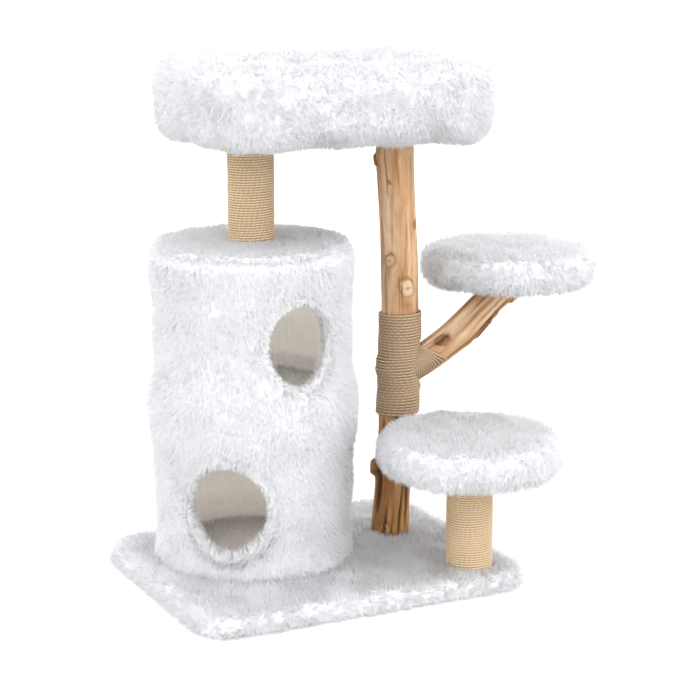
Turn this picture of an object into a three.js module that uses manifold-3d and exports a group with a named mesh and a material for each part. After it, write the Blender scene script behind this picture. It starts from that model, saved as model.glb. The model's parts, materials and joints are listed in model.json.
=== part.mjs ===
// A cat tree. A plush-covered base carries a round two-storey cat house, a rope-wound post with a
// round perch on it, and a natural wood trunk whose side branch holds a second perch. The trunk and
// a post on the cat house's roof carry a padded bed with a loose cushion in it.
//
// Millimetres, +Z up. X runs along the base's long side and Y from its front to its back.
// The origin is the centre of the base's underside.

import * as THREE from 'three';
import { mergeVertices } from 'three/addons/utils/BufferGeometryUtils.js';
import Module from 'manifold-3d';

// ---- Driving dimensions ---------------------------------------------------------------------

const GAP = 0.3; // left between pieces that touch
const PILE = 14; // plush with its backing
const HEM = 1.7; // cloth without pile: linings and turned-under edges
const BOARD = 16; // thickness of the main boards

const BASE = { length: 600, width: 490, corner: 55, height: 33, hem: 45, roll: 9 };

const HOUSE = { x: -90, y: 48, top: 592, wall: 5, board: 12, floor: 306 };
// The house's side narrows between its boards: the plush face's radius at each height.
const HOUSE_SIDE = [
  [171, 18], [165, 92], [171, 195], [179, 305],
  [175.5, 365], [168, 440], [169, 505], [175, 592],
];
const LOWER_DOOR = { turn: -40, height: 157, wide: 146, tall: 168 };
const UPPER_DOOR = { turn: 6, height: 435, wide: 120, tall: 150 };
const DOOR_EDGE = 7; // thickness of the plush that binds a door
const DOOR_REACH = 260; // how far a doorway's prism runs out from the house's middle
const DOOR_SIDES = 8; // steps in a quarter of a doorway
const FLOOR_SCREW_CIRCLE = 110;

const POST = { radius: 40, rope: 5, tube: 3, plug: 20 };
const PERCH_POST = { x: 212, y: -180 };

const PERCH = { radius: 157, height: 57, turned: 18, open: 105, slack: 6, fullness: 0.75 };
const LOW_PERCH_TOP = 268;
const HIGH_PERCH = { x: 420, top: 540 };

const TRUNK = { x: 196, y: 49, radius: 33.5 };
const LOG_SIDES = 16;
const TRUNK_RINGS = 32;
const WRAP_RINGS = 6;
const BRANCH_RINGS = 18;
const WRAP = { low: 252, high: 443, rope: 5, margin: 20 };
const BRANCH_SEAT = 222; // where the branch meets the flat cut in the trunk
const BRANCH_BOLT_HEIGHT = 338;
const BRANCH_BOLT_LENGTH = 88;
const CROTCH = [44, 0, 372]; // above the branch's root, from the trunk's foot
const WRAP_TILT = 0.42; // lean of the branch wrap's upper edge, in radians
// Centre line of the branch, from inside the trunk to above the perch it carries: x, z.
const BRANCH_LINE = [
  [196, 330], [245, 350], [300, 381], [345, 416],
  [385, 450], [412, 480], [424, 520],
];

const BED = { x: 45, y: 49, length: 530, width: 400, corner: 108, low: 758, top: 896 };
const BED_NEST = { length: 330, width: 200, corner: 36 };
const BED_ROLL = 40; // how far the bed's rim rounds off
const BED_BOARD = { length: 454, width: 324, corner: 70 };
const BED_SKIN = 8; // plush under and over the bed's board
const CUSHION = { length: 312, width: 182, height: 36, corner: 34, roll: 12 };

const BOLT = { radius: 4, head: 7, headHeight: 5.3 };
const WASHER = { radius: 11, height: 1.6 };
const SINK = { radius: 13, depth: 8 }; // recess for a bolt's head and washer
const SCREW = { radius: 2, head: 4.2, length: 22, point: 4 };
// Shank lengths: through a board and a post's plug, through a roof or bed board, or into the trunk.
const POST_BOLT = 30;
const BED_POST_BOLT = 38;
const HIGH_PERCH_BOLT = 48;
const TRUNK_BOLT = 66;
const PILOT = { trunk: 60, trunkHead: 62, perch: 50, branch: 100 }; // depths of holes in the wood
const OVERCUT = 1; // how far a cutting shape passes the face it cuts

const ROUND = 32; // sides of a large round piece
const SMALL = 12; // sides of a small round piece
const TINY = 8; // sides of a bolt's shank, its hole or a screw
const CORNER_STEPS = 3; // half the steps in a plate's rounded corner
const RIM_STEPS = 5; // steps round a perch's edge

// ---- Heights that follow --------------------------------------------------------------------

const baseBoardLow = HEM + GAP;
const baseBoardTop = baseBoardLow + BOARD;
const floorLevel = baseBoardTop + GAP; // where everything stands on the base board
const baseTop = BASE.height;
const houseRoofLow = HOUSE.top - PILE - GAP - HOUSE.board;
const houseRoofTop = houseRoofLow + HOUSE.board;
const lowPerchLow = LOW_PERCH_TOP - PERCH.height;
const highPerchLow = HIGH_PERCH.top - PERCH.height;
const bedBoardLow = BED.low + BED_SKIN;
const bedBoardTop = bedBoardLow + BOARD;

// ---- Materials ------------------------------------------------------------------------------

function finish(color, roughness, metalness = 0) {
  return () => new THREE.MeshStandardMaterial({ color, roughness, metalness });
}

const plush = finish(0xeff0f5, 0.95);
const ribbedCloth = finish(0xb7b3aa, 0.9);
const plainCloth = finish(0xd8d6d0, 0.9);
const foam = finish(0xe9e2c8, 0.9);
const chipboard = finish(0xc2a477, 0.8);
const hardboard = finish(0xa58a63, 0.75);
const card = finish(0xb08d62, 0.9);
const softwood = finish(0xd8bb86, 0.7);
const bareWood = finish(0xbe9d7d, 0.6);
const sisal = finish(0xcab091, 0.9);
const jute = finish(0xa98f70, 0.9);
const zinc = finish(0xb9bcc0, 0.35, 0.9);

// ---- Solids: closed meshes that can be cut and joined ---------------------------------------

const wasm = await Module();
wasm.setup();

function toSolid(geometry) {
  const bare = geometry.clone();
  bare.deleteAttribute('normal');
  bare.deleteAttribute('uv');
  const merged = mergeVertices(bare, 1e-4);
  const corners = merged.index.array;
  const triangles = [];
  for (let i = 0; i < corners.length; i += 3) {
    const [a, b, c] = corners.slice(i, i + 3);
    if (a !== b && b !== c && c !== a) {
      triangles.push(a, b, c);
    }
  }
  const vertProperties = new Float32Array(merged.attributes.position.array);
  const triVerts = new Uint32Array(triangles);
  return new wasm.Manifold(new wasm.Mesh({ numProp: 3, vertProperties, triVerts }));
}

function toGeometry(solid) {
  const mesh = solid.getMesh();
  const geometry = new THREE.BufferGeometry();
  const places = new Float32Array(mesh.vertProperties);
  geometry.setAttribute('position', new THREE.BufferAttribute(places, 3));
  geometry.setIndex(new THREE.BufferAttribute(new Uint32Array(mesh.triVerts), 1));
  geometry.computeVertexNormals();
  return geometry;
}

function cut(geometry, ...tools) {
  const whole = toSolid(geometry);
  return toGeometry(tools.reduce((solid, tool) => solid.subtract(toSolid(tool)), whole));
}

function join(...pieces) {
  return toGeometry(pieces.map(toSolid).reduce((whole, piece) => whole.add(piece)));
}

function keepWithin(geometry, limit) {
  return toGeometry(toSolid(geometry).intersect(toSolid(limit)));
}

// ---- Basic shapes ---------------------------------------------------------------------------

// A round piece standing on z = low.
function disc(radius, low, height, sides = ROUND) {
  const cylinder = new THREE.CylinderGeometry(radius, radius, height, sides);
  return cylinder.rotateX(Math.PI / 2).translate(0, 0, low + height / 2);
}

// A shape turned about Z from its outline of [radius, height] points, which closes on itself.
function turned(outline, sides = ROUND) {
  const points = outline.map(([radius, height]) => new THREE.Vector2(radius, height));
  points.push(points[0].clone());
  return new THREE.LatheGeometry(points, sides).rotateX(Math.PI / 2);
}

// A ring between two radii.
function ring(inner, outer, low, height, sides = ROUND) {
  const top = low + height;
  return turned([[inner, low], [outer, low], [outer, top], [inner, top]], sides);
}

// A rectangle with rounded corners, centred on the origin.
function roundedRectangle(length, width, corner) {
  const x = length / 2;
  const y = width / 2;
  const shape = new THREE.Shape();
  shape.moveTo(x - corner, -y);
  shape.absarc(x - corner, corner - y, corner, -Math.PI / 2, 0, false);
  shape.absarc(x - corner, y - corner, corner, 0, Math.PI / 2, false);
  shape.absarc(corner - x, y - corner, corner, Math.PI / 2, Math.PI, false);
  shape.absarc(corner - x, corner - y, corner, Math.PI, Math.PI * 1.5, false);
  shape.closePath();
  return shape;
}

// A flat plate of that outline, standing on z = low.
function plate(length, width, corner, low, height) {
  const shape = roundedRectangle(length, width, corner);
  const options = { depth: height, bevelEnabled: false, curveSegments: CORNER_STEPS };
  return new THREE.ExtrudeGeometry(shape, options).translate(0, 0, low);
}

const ROLL_RISE = 1.3; // a rounded edge is this much taller than it is deep
const LARGE_ROLL = 20; // a roll over this gets one more step

// The same, with its upper and lower edges rounded off by roll. A nest makes it a ring.
function roundedPlate(size, low, height, roll, nest = null) {
  const spread = 2 * roll;
  const shape = roundedRectangle(size.length - spread, size.width - spread, size.corner - roll);
  if (nest) {
    const hole = roundedRectangle(nest.length + spread, nest.width + spread, nest.corner + roll);
    shape.holes.push(hole);
  }
  const thickness = Math.min(height / 2 - 1, roll * ROLL_RISE);
  const options = {
    depth: height - 2 * thickness,
    bevelThickness: thickness,
    bevelSize: roll,
    bevelSegments: roll > LARGE_ROLL ? 3 : 2,
    curveSegments: CORNER_STEPS,
  };
  return new THREE.ExtrudeGeometry(shape, options).translate(0, 0, low + thickness);
}

// ---- Fasteners ------------------------------------------------------------------------------

// A hexagon bolt with its head below z = 0 and its shank rising from there.
function boltShape(length) {
  const hexagon = 6;
  const head = disc(BOLT.head, -BOLT.headHeight, BOLT.headHeight, hexagon);
  const shank = disc(BOLT.radius, -OVERCUT, length + OVERCUT, TINY);
  return join(head, shank);
}

// A bolt and its washer, seated against z = 0 and driven up, or down when flipped.
function boltAndWasher(name, length, flipped = false) {
  const group = new THREE.Group();
  const under = -GAP - WASHER.height;
  const washer = ring(BOLT.radius + GAP, WASHER.radius, under, WASHER.height, TINY);
  const bolt = boltShape(length).translate(0, 0, under - GAP);
  group.add(named(`${name}_washer`, washer, zinc));
  group.add(named(`${name}_bolt`, bolt, zinc));
  if (flipped) {
    group.rotation.x = Math.PI;
  }
  return group;
}

// The hole that a bolt's shank needs from z = low up to z = high.
function boltHole(low, high) {
  return disc(BOLT.radius + GAP, low, high - low, TINY);
}

// A board's hole for a bolt whose head sinks into the face at z = face. up is 1 where the bolt rises.
function sunkHole(face, up) {
  const low = up > 0 ? face - OVERCUT : face - SINK.depth;
  const recess = disc(SINK.radius, low, SINK.depth + OVERCUT, SMALL);
  const reach = BOARD + OVERCUT;
  return join(recess, boltHole(face - reach, face + reach));
}

function woodScrew() {
  const cone = SCREW.head - SCREW.radius;
  const outline = [
    [0, 0],
    [SCREW.head, 0],
    [SCREW.radius, cone],
    [SCREW.radius, SCREW.length - SCREW.point],
    [0, SCREW.length],
  ];
  return turned(outline, TINY);
}

function screwHole(low, high) {
  return disc(SCREW.radius + GAP, low, high - low, TINY);
}

// ---- Scene helpers --------------------------------------------------------------------------

function named(name, geometry, material) {
  const mesh = new THREE.Mesh(geometry, material());
  mesh.name = name;
  return mesh;
}

function placed(group, x, y, z = 0) {
  group.position.set(x, y, z);
  return group;
}

// ---- The trunk and its branch ---------------------------------------------------------------

// How far the trunk's middle bows to +X and +Y at a height: it leans in from the left at its foot,
// bulges to the right at half height, leans back at its head, and sways a little front to back.
const LEAN = { foot: -18, middle: 18, head: -9, sway: 4 };

function trunkBow(height) {
  const rise = height / BED.low;
  const bend = Math.sin(Math.PI * Math.min(1, rise * 1.06));
  const middle = LEAN.middle * bend * (1 - 0.45 * rise);
  return {
    x: LEAN.foot * (1 - rise) + middle + LEAN.head * rise,
    y: LEAN.sway * Math.sin(2 * Math.PI * rise),
  };
}

// A bell curve: 1 at the middle, and near 0 beyond twice the width.
function bell(value, middle, width) {
  return Math.exp(-(((value - middle) / width) ** 2));
}

// Knots on the trunk's left side: height, spread up and down, and how far they stand out.
const KNOTS = [
  { height: 173, spread: 16, stand: 5 },
  { height: 716, spread: 14, stand: 4 },
];
const KNOT_WIDTH = 0.5; // spread round the trunk, in radians

// The trunk's radius at a height and an angle about its middle: thin at the top, with knots.
function trunkRadius(height, angle) {
  const taper = 1.03 - 0.07 * (height / BED.low);
  const wrapped = height > WRAP.low - WRAP.margin && height < WRAP.high + WRAP.margin;
  const ripple = 0.9 * Math.sin(3 * angle + height / 90) + 0.6 * Math.sin(5 * angle - height / 60);
  const knots = KNOTS.reduce((sum, knot) => {
    const upright = bell(height, knot.height, knot.spread);
    return sum + knot.stand * upright * bell(angle, Math.PI, KNOT_WIDTH);
  }, 0);
  return TRUNK.radius * taper + (wrapped ? 0 : ripple) + knots;
}

// The trunk between two heights, grown by extra all round.
function trunkLog(low, high, extra, rings) {
  const log = new THREE.CylinderGeometry(1, 1, high - low, LOG_SIDES, rings);
  log.rotateX(Math.PI / 2);
  log.translate(0, 0, (low + high) / 2);
  const points = log.attributes.position;
  for (let i = 0; i < points.count; i += 1) {
    const height = points.getZ(i);
    const out = Math.hypot(points.getX(i), points.getY(i));
    const turn = Math.atan2(points.getY(i), points.getX(i));
    const angle = turn < 0 ? turn + 2 * Math.PI : turn;
    const radius = out * (trunkRadius(height, angle) + extra);
    const bow = trunkBow(height);
    const x = bow.x + radius * Math.cos(angle);
    const y = bow.y + radius * Math.sin(angle);
    points.setXYZ(i, x, y, height);
  }
  return log;
}

// The branch's radius along its length, with an elbow below its middle and a knob at its end.
const BRANCH = { radius: 29, taper: 2.5, elbow: 4, knob: 6 };

function branchRadius(along, down) {
  const below = Math.max(0, down);
  const elbow = BRANCH.elbow * bell(along, 0.47, 0.07) * below;
  const knob = BRANCH.knob * bell(along, 0.84, 0.09) * below;
  return BRANCH.radius - BRANCH.taper * along + elbow + knob;
}

// The branch grown by extra all round, swept along its centre line in the trunk's frame.
function branchLog(extra) {
  const stations = BRANCH_LINE.map(([x, z]) => new THREE.Vector3(x - TRUNK.x, 0, z));
  const line = new THREE.CatmullRomCurve3(stations);
  const log = new THREE.CylinderGeometry(1, 1, 1, LOG_SIDES, BRANCH_RINGS);
  const points = log.attributes.position;
  for (let i = 0; i < points.count; i += 1) {
    const along = points.getY(i) + 0.5;
    const middle = line.getPointAt(along);
    const tangent = line.getTangentAt(along);
    const side = new THREE.Vector3(0, 1, 0);
    const down = new THREE.Vector3().crossVectors(side, tangent).normalize();
    const across = points.getX(i);
    const drop = points.getZ(i);
    const out = Math.hypot(across, drop);
    const radius = branchRadius(along, out > 0 ? drop / out : 0) + extra;
    middle.addScaledVector(side, across * radius).addScaledVector(down, drop * radius);
    points.setXYZ(i, middle.x, middle.y, middle.z);
  }
  return log;
}

// A block from one corner to the opposite one, used to trim the logs.
function block(low, high) {
  const size = high.map((value, i) => value - low[i]);
  const middle = high.map((value, i) => (value + low[i]) / 2);
  return new THREE.BoxGeometry(...size).translate(...middle);
}

// The bolt that holds the branch runs along +X from this place inside the trunk's left side.
const branchBoltStart = trunkBow(BRANCH_BOLT_HEIGHT).x - TRUNK.radius + SINK.depth + 3;

// Turns a shape built along +Z onto the branch bolt's axis.
function alongBranchBolt(geometry) {
  return geometry.rotateY(Math.PI / 2).translate(branchBoltStart, 0, BRANCH_BOLT_HEIGHT);
}

// Half the side of a block that clears a log on every side.
const CLEAR = 80;

function trunkSolid() {
  const top = bedBoardLow - GAP;
  const seat = BRANCH_SEAT - TRUNK.x;
  const seatCut = block([seat, -CLEAR, 300], [seat + CLEAR, CLEAR, 392]);
  const footHole = boltHole(floorLevel - OVERCUT, floorLevel + PILOT.trunk);
  const headHole = boltHole(top - PILOT.trunkHead, top + OVERCUT);
  return cut(
    trunkLog(floorLevel, top, 0, TRUNK_RINGS),
    seatCut,
    footHole.translate(trunkBow(0).x, 0, 0),
    headHole.translate(trunkBow(top).x, 0, 0),
    alongBranchBolt(disc(SINK.radius, -CLEAR, CLEAR, SMALL)),
    alongBranchBolt(boltHole(-OVERCUT, PILOT.branch)),
  );
}

function branchSolid() {
  const seat = BRANCH_SEAT - TRUNK.x;
  const perchFace = highPerchLow + HEM;
  const perchHole = boltHole(perchFace - PILOT.perch, perchFace + OVERCUT);
  return cut(
    branchLog(0),
    block([-100, -CLEAR, 200], [seat + GAP, CLEAR, 560]),
    block([seat, -CLEAR, perchFace], [400, CLEAR, 700]),
    alongBranchBolt(boltHole(0, BRANCH_BOLT_LENGTH + 4)),
    perchHole.translate(HIGH_PERCH.x - TRUNK.x, 0, 0),
  );
}

function trunkWrap() {
  const outside = trunkLog(WRAP.low, WRAP.high, GAP + WRAP.rope, WRAP_RINGS);
  const inside = trunkLog(WRAP.low - OVERCUT, WRAP.high + OVERCUT, GAP, WRAP_RINGS);
  return cut(outside, inside, branchLog(GAP));
}

function branchWrap() {
  const side = 2 * CLEAR;
  const below = new THREE.BoxGeometry(side, side, side).translate(0, 0, -CLEAR);
  below.rotateY(WRAP_TILT).translate(...CROTCH);
  const low = WRAP.low - WRAP.margin;
  const high = WRAP.high + WRAP.margin;
  const besideTrunk = trunkLog(low, high, 2 * GAP + WRAP.rope, WRAP_RINGS);
  const outside = keepWithin(branchLog(GAP + WRAP.rope), below);
  return cut(outside, branchLog(GAP), besideTrunk);
}

function branchBolt() {
  const group = boltAndWasher('branch', BRANCH_BOLT_LENGTH);
  group.rotation.y = Math.PI / 2;
  return placed(group, branchBoltStart, 0, BRANCH_BOLT_HEIGHT);
}

function trunkParts() {
  const group = new THREE.Group();
  group.add(named('trunk', trunkSolid(), bareWood));
  group.add(named('branch', branchSolid(), bareWood));
  group.add(branchBolt());
  group.add(named('trunk_rope', trunkWrap(), jute));
  group.add(named('branch_rope', branchWrap(), jute));
  return placed(group, TRUNK.x, TRUNK.y);
}

// ---- The base -------------------------------------------------------------------------------

const trunkFootX = TRUNK.x + trunkBow(0).x;

// Where the screws from below hold the cat house, about its middle.
function floorScrewPlaces() {
  return [0, 1, 2].map((i) => {
    const angle = (i * 2 * Math.PI) / 3 + Math.PI / 2;
    return [FLOOR_SCREW_CIRCLE * Math.cos(angle), FLOOR_SCREW_CIRCLE * Math.sin(angle)];
  });
}

// The base board's holes: bolts for the perch's post and the trunk, and screws for the house.
function baseBoardHoles() {
  const screws = floorScrewPlaces().map(([x, y]) => {
    const head = disc(SCREW.head + GAP, baseBoardLow - OVERCUT, OVERCUT + SCREW.head, TINY);
    const hole = join(head, screwHole(baseBoardLow, baseBoardTop + OVERCUT));
    return hole.translate(HOUSE.x + x, HOUSE.y + y, 0);
  });
  return [
    sunkHole(baseBoardLow, 1).translate(PERCH_POST.x, PERCH_POST.y, 0),
    sunkHole(baseBoardLow, 1).translate(trunkFootX, TRUNK.y, 0),
    ...screws,
  ];
}

// What the base's plush leaves free: the board, the lining, and whatever stands on the board.
function baseHollows() {
  const spare = 2 * (PILE - GAP);
  const under = 2 * BASE.hem;
  const corner = BASE.corner - PILE;
  const foot = floorLevel - OVERCUT;
  const above = 40;
  return [
    plate(BASE.length - spare, BASE.width - spare, corner, HEM, BOARD + 2 * GAP),
    plate(BASE.length - under, BASE.width - under, corner, -OVERCUT, HEM + 2 * OVERCUT),
    disc(houseRadius(floorLevel) + GAP, foot, above).translate(HOUSE.x, HOUSE.y, 0),
    disc(POST.radius + GAP, foot, above).translate(PERCH_POST.x, PERCH_POST.y, 0),
    trunkLog(foot, floorLevel + above, GAP, 4).translate(TRUNK.x, TRUNK.y, 0),
  ];
}

function baseParts() {
  const group = new THREE.Group();
  const inset = 2 * PILE;
  const corner = BASE.corner - PILE;
  const board = plate(BASE.length - inset, BASE.width - inset, corner, baseBoardLow, BOARD);
  group.add(named('base_board', cut(board, ...baseBoardHoles()), chipboard));

  const shell = roundedPlate(BASE, 0, baseTop, BASE.roll);
  group.add(named('base_plush', cut(shell, ...baseHollows()), plush));

  const under = 2 * (BASE.hem + GAP);
  const lining = plate(BASE.length - under, BASE.width - under, corner, 0, HEM);
  group.add(named('base_lining', lining, plainCloth));

  const seat = baseBoardLow + SINK.depth;
  const postFoot = boltAndWasher('perch_post_foot', POST_BOLT);
  group.add(placed(postFoot, PERCH_POST.x, PERCH_POST.y, seat));
  group.add(placed(boltAndWasher('trunk_foot', TRUNK_BOLT), trunkFootX, TRUNK.y, seat));
  return group;
}

// ---- The cat house --------------------------------------------------------------------------

// Radius of the house's plush face at a height.
function plushRadius(height) {
  const above = Math.max(1, HOUSE_SIDE.findIndex(([, level]) => level >= height));
  const [lowRadius, low] = HOUSE_SIDE[above - 1];
  const [highRadius, high] = HOUSE_SIDE[above];
  return lowRadius + ((highRadius - lowRadius) * (height - low)) / (high - low);
}

// Radius of the outer face of the house's wall at a height.
function houseRadius(height) {
  return plushRadius(height) - PILE;
}

// A tube that follows the house's side between two heights and two depths below the plush face.
function houseTube(low, high, outerDepth, innerDepth) {
  const levels = HOUSE_SIDE.map(([, height]) => height);
  const heights = [low, ...levels.filter((height) => height > low && height < high), high];
  const outer = heights.map((height) => [plushRadius(height) - outerDepth, height]);
  const inner = heights.map((height) => [plushRadius(height) - innerDepth, height]).reverse();
  return turned([...outer, ...inner]);
}

// The prism of a doorway, grown by extra, running out from the house's middle.
function doorway(door, extra) {
  const shape = new THREE.Shape();
  const halfWide = door.wide / 2 + extra;
  const halfTall = door.tall / 2 + extra;
  shape.absellipse(0, 0, halfWide, halfTall, 0, 2 * Math.PI, false, 0);
  const options = { depth: DOOR_REACH, bevelEnabled: false, curveSegments: DOOR_SIDES };
  const prism = new THREE.ExtrudeGeometry(shape, options).rotateX(Math.PI / 2);
  return prism.rotateZ(THREE.MathUtils.degToRad(door.turn)).translate(0, 0, door.height);
}

const liningDepth = PILE + HOUSE.wall + GAP;
const roomDepth = liningDepth + HEM;
const EDGING_STAND = 2; // how far a door's edging stands out of the plush face

// One storey: its wall, the lining between its floor and ceiling, and its door's edging.
function houseRoom(name, { low, high }, floor, ceiling, door) {
  const group = new THREE.Group();
  const opening = doorway(door, DOOR_EDGE + GAP);
  const wall = cut(houseTube(low, high, PILE, PILE + HOUSE.wall), opening);
  group.add(named(`house_${name}_wall`, wall, hardboard));
  const lining = cut(houseTube(floor, ceiling, liningDepth, roomDepth), opening);
  group.add(named(`house_${name}_lining`, lining, ribbedCloth));
  const around = houseTube(low, high, -EDGING_STAND, roomDepth + OVERCUT);
  const edging = cut(keepWithin(doorway(door, DOOR_EDGE), around), doorway(door, 0));
  group.add(named(`house_${name}_door_edging`, edging, plush));
  return group;
}

// Radius of a board or pad inside the house between two heights.
function insideRadius(low, high, depth) {
  return Math.min(plushRadius(low), plushRadius(high)) - depth - GAP;
}

// The plush cap on the roof, round the post that stands there.
function roofCap() {
  const rim = plushRadius(HOUSE.top);
  const inner = POST.radius + GAP;
  const low = houseRoofTop + GAP;
  return turned([
    [inner, low],
    [rim, low],
    [rim, HOUSE.top - 6],
    [rim - 2, HOUSE.top - 2],
    [rim - 6, HOUSE.top],
    [inner, HOUSE.top],
  ]);
}

// A room's pad of plush on its floor board.
function floorPad(boardTop) {
  const radius = insideRadius(boardTop, boardTop + PILE, roomDepth);
  return disc(radius, boardTop + GAP, PILE - GAP);
}

function houseParts() {
  const group = new THREE.Group();
  const wallDepth = PILE + HOUSE.wall;
  const floorTop = floorLevel + HOUSE.board;
  const middleTop = HOUSE.floor + HOUSE.board;
  const split = HOUSE.floor + HOUSE.board / 2;

  const floor = disc(insideRadius(floorLevel, floorTop, wallDepth), floorLevel, HOUSE.board);
  const screwHoles = floorScrewPlaces().map(([x, y]) => {
    return screwHole(floorLevel - OVERCUT, floorTop - OVERCUT).translate(x, y, 0);
  });
  group.add(named('house_floor_board', cut(floor, ...screwHoles), chipboard));
  floorScrewPlaces().forEach(([x, y], i) => {
    const screw = named(`house_floor_screw_${i + 1}`, woodScrew(), zinc);
    group.add(placed(screw, x, y, baseBoardLow + GAP));
  });
  group.add(named('house_floor_plush', floorPad(floorTop), plush));

  const middle = disc(insideRadius(HOUSE.floor, middleTop, wallDepth), HOUSE.floor, HOUSE.board);
  group.add(named('house_middle_board', middle, chipboard));
  group.add(named('house_middle_plush', floorPad(middleTop), plush));

  const roofRadius = insideRadius(houseRoofLow, houseRoofTop, wallDepth);
  const roofHole = boltHole(houseRoofLow - OVERCUT, houseRoofTop + OVERCUT);
  const roof = cut(disc(roofRadius, houseRoofLow, HOUSE.board), roofHole);
  group.add(named('house_roof_board', roof, chipboard));
  group.add(named('house_roof_plush', roofCap(), plush));

  const lower = { low: floorLevel, high: split - GAP / 2 };
  const upper = { low: split + GAP / 2, high: houseRoofTop };
  group.add(houseRoom('lower', lower, floorTop + GAP, HOUSE.floor - GAP, LOWER_DOOR));
  group.add(houseRoom('upper', upper, middleTop + GAP, houseRoofLow - GAP, UPPER_DOOR));

  const sleeve = houseTube(baseTop + GAP, houseRoofTop, 0, PILE - GAP);
  const doors = [LOWER_DOOR, UPPER_DOOR].map((door) => doorway(door, DOOR_EDGE + GAP));
  group.add(named('house_plush_sleeve', cut(sleeve, ...doors), plush));

  group.add(placed(boltAndWasher('bed_post_foot', BED_POST_BOLT), 0, 0, houseRoofLow));
  group.add(postParts('bed_post', houseRoofTop + GAP, bedBoardLow - GAP));
  return placed(group, HOUSE.x, HOUSE.y);
}

// ---- Rope-wound posts -----------------------------------------------------------------------

// A card tube with a plug in each end and rope wound round it.
function postParts(name, low, high) {
  const group = new THREE.Group();
  const length = high - low;
  const tubeRadius = POST.radius - POST.rope - GAP;
  const bore = tubeRadius - POST.tube;
  const plug = ring(BOLT.radius + GAP, bore - GAP, 0, POST.plug, ROUND / 2);
  const rope = ring(POST.radius - POST.rope, POST.radius, low, length);
  group.add(named(`${name}_tube`, ring(bore, tubeRadius, low, length), card));
  group.add(named(`${name}_rope`, rope, sisal));
  group.add(placed(named(`${name}_foot_plug`, plug, softwood), 0, 0, low));
  group.add(placed(named(`${name}_head_plug`, plug.clone(), softwood), 0, 0, high - POST.plug));
  return group;
}

// ---- Perches --------------------------------------------------------------------------------

// Half the outline of a perch's rounded edge, from its underside up to its top.
function perchRim() {
  const half = PERCH.height / 2;
  const rim = [];
  for (let i = 0; i <= RIM_STEPS; i += 1) {
    const angle = -Math.PI / 2 + (Math.PI * i) / RIM_STEPS;
    const out = Math.cos(angle) ** PERCH.fullness;
    const radius = PERCH.radius - PERCH.turned * (1 - out);
    rim.push([radius, half + half * Math.sin(angle)]);
  }
  return rim;
}

// A round perch standing on z = 0: board, foam and plush cover, held by a bolt from above its board.
function perchParts(name, boltLength) {
  const group = new THREE.Group();
  const boardLow = HEM + GAP;
  const boardTop = boardLow + BOARD;
  const foamLow = boardTop + GAP;
  const foamTop = PERCH.height - PILE;
  const padRadius = PERCH.radius - PILE - PERCH.slack;
  const inside = padRadius + GAP;
  const board = cut(disc(padRadius, boardLow, BOARD), sunkHole(boardTop, -1));
  const pad = disc(padRadius, foamLow, foamTop - foamLow - GAP);
  const cover = turned([
    [PERCH.open, 0],
    ...perchRim(),
    [0, PERCH.height],
    [0, foamTop],
    [inside, foamTop],
    [inside, HEM],
    [PERCH.open, HEM],
  ]);
  group.add(named(`${name}_board`, board, chipboard));
  group.add(named(`${name}_foam`, pad, foam));
  group.add(named(`${name}_plush`, cover, plush));
  const bolt = boltAndWasher(`${name}_head`, boltLength, true);
  group.add(placed(bolt, 0, 0, boardTop - SINK.depth));
  return group;
}

// ---- The bed --------------------------------------------------------------------------------

// The padded rim, with a rebate below for the board.
function bedRim() {
  const margin = 2 * GAP;
  const low = BED.low - OVERCUT;
  const rim = roundedPlate(BED, BED.low, BED.top - BED.low, BED_ROLL, BED_NEST);
  const length = BED_BOARD.length + margin;
  const width = BED_BOARD.width + margin;
  const rebate = plate(length, width, BED_BOARD.corner + GAP, low, bedBoardTop + GAP - low);
  return cut(rim, rebate);
}

function bedParts() {
  const group = new THREE.Group();
  const post = { x: HOUSE.x - BED.x, y: HOUSE.y - BED.y };
  const headX = TRUNK.x + trunkBow(bedBoardLow).x - BED.x;
  const { length, width, corner } = BED_BOARD;
  const skin = BED_SKIN - GAP;

  const board = cut(
    plate(length, width, corner, bedBoardLow, BOARD),
    sunkHole(bedBoardTop, -1).translate(post.x, post.y, 0),
    sunkHole(bedBoardTop, -1).translate(headX, 0, 0),
  );
  group.add(named('bed_board', board, chipboard));
  group.add(named('bed_rim', bedRim(), plush));

  const passages = [
    disc(POST.radius + GAP, BED.low - OVERCUT, BED_SKIN + 2 * OVERCUT).translate(post.x, post.y, 0),
    trunkLog(BED.low - 10, bedBoardLow, GAP, 2).translate(TRUNK.x - BED.x, 0, 0),
  ];
  const under = cut(plate(length, width, corner, BED.low, skin), ...passages);
  group.add(named('bed_under_plush', under, plush));

  const nest = { length: BED_NEST.length - 2, width: BED_NEST.width - 2 };
  const floor = plate(nest.length, nest.width, BED_NEST.corner, bedBoardTop + GAP, skin);
  group.add(named('bed_floor_plush', floor, plush));

  const seat = bedBoardTop - SINK.depth;
  group.add(placed(boltAndWasher('bed_post_head', BED_POST_BOLT, true), post.x, post.y, seat));
  group.add(placed(boltAndWasher('trunk_head', TRUNK_BOLT, true), headX, 0, seat));

  const cushionLow = bedBoardTop + BED_SKIN + GAP;
  const cushion = roundedPlate(CUSHION, cushionLow, CUSHION.height, CUSHION.roll);
  group.add(named('bed_cushion', cushion, plush));
  return placed(group, BED.x, BED.y);
}

// ---- The whole cat tree ---------------------------------------------------------------------

const catTree = new THREE.Group();
const perchPost = postParts('perch_post', floorLevel, lowPerchLow + HEM);
const lowPerch = perchParts('low_perch', POST_BOLT);
const highPerch = perchParts('high_perch', HIGH_PERCH_BOLT);
catTree.add(baseParts());
catTree.add(houseParts());
catTree.add(placed(perchPost, PERCH_POST.x, PERCH_POST.y));
catTree.add(placed(lowPerch, PERCH_POST.x, PERCH_POST.y, lowPerchLow));
catTree.add(trunkParts());
catTree.add(placed(highPerch, HIGH_PERCH.x, TRUNK.y, highPerchLow));
catTree.add(bedParts());

export default catTree;
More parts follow.
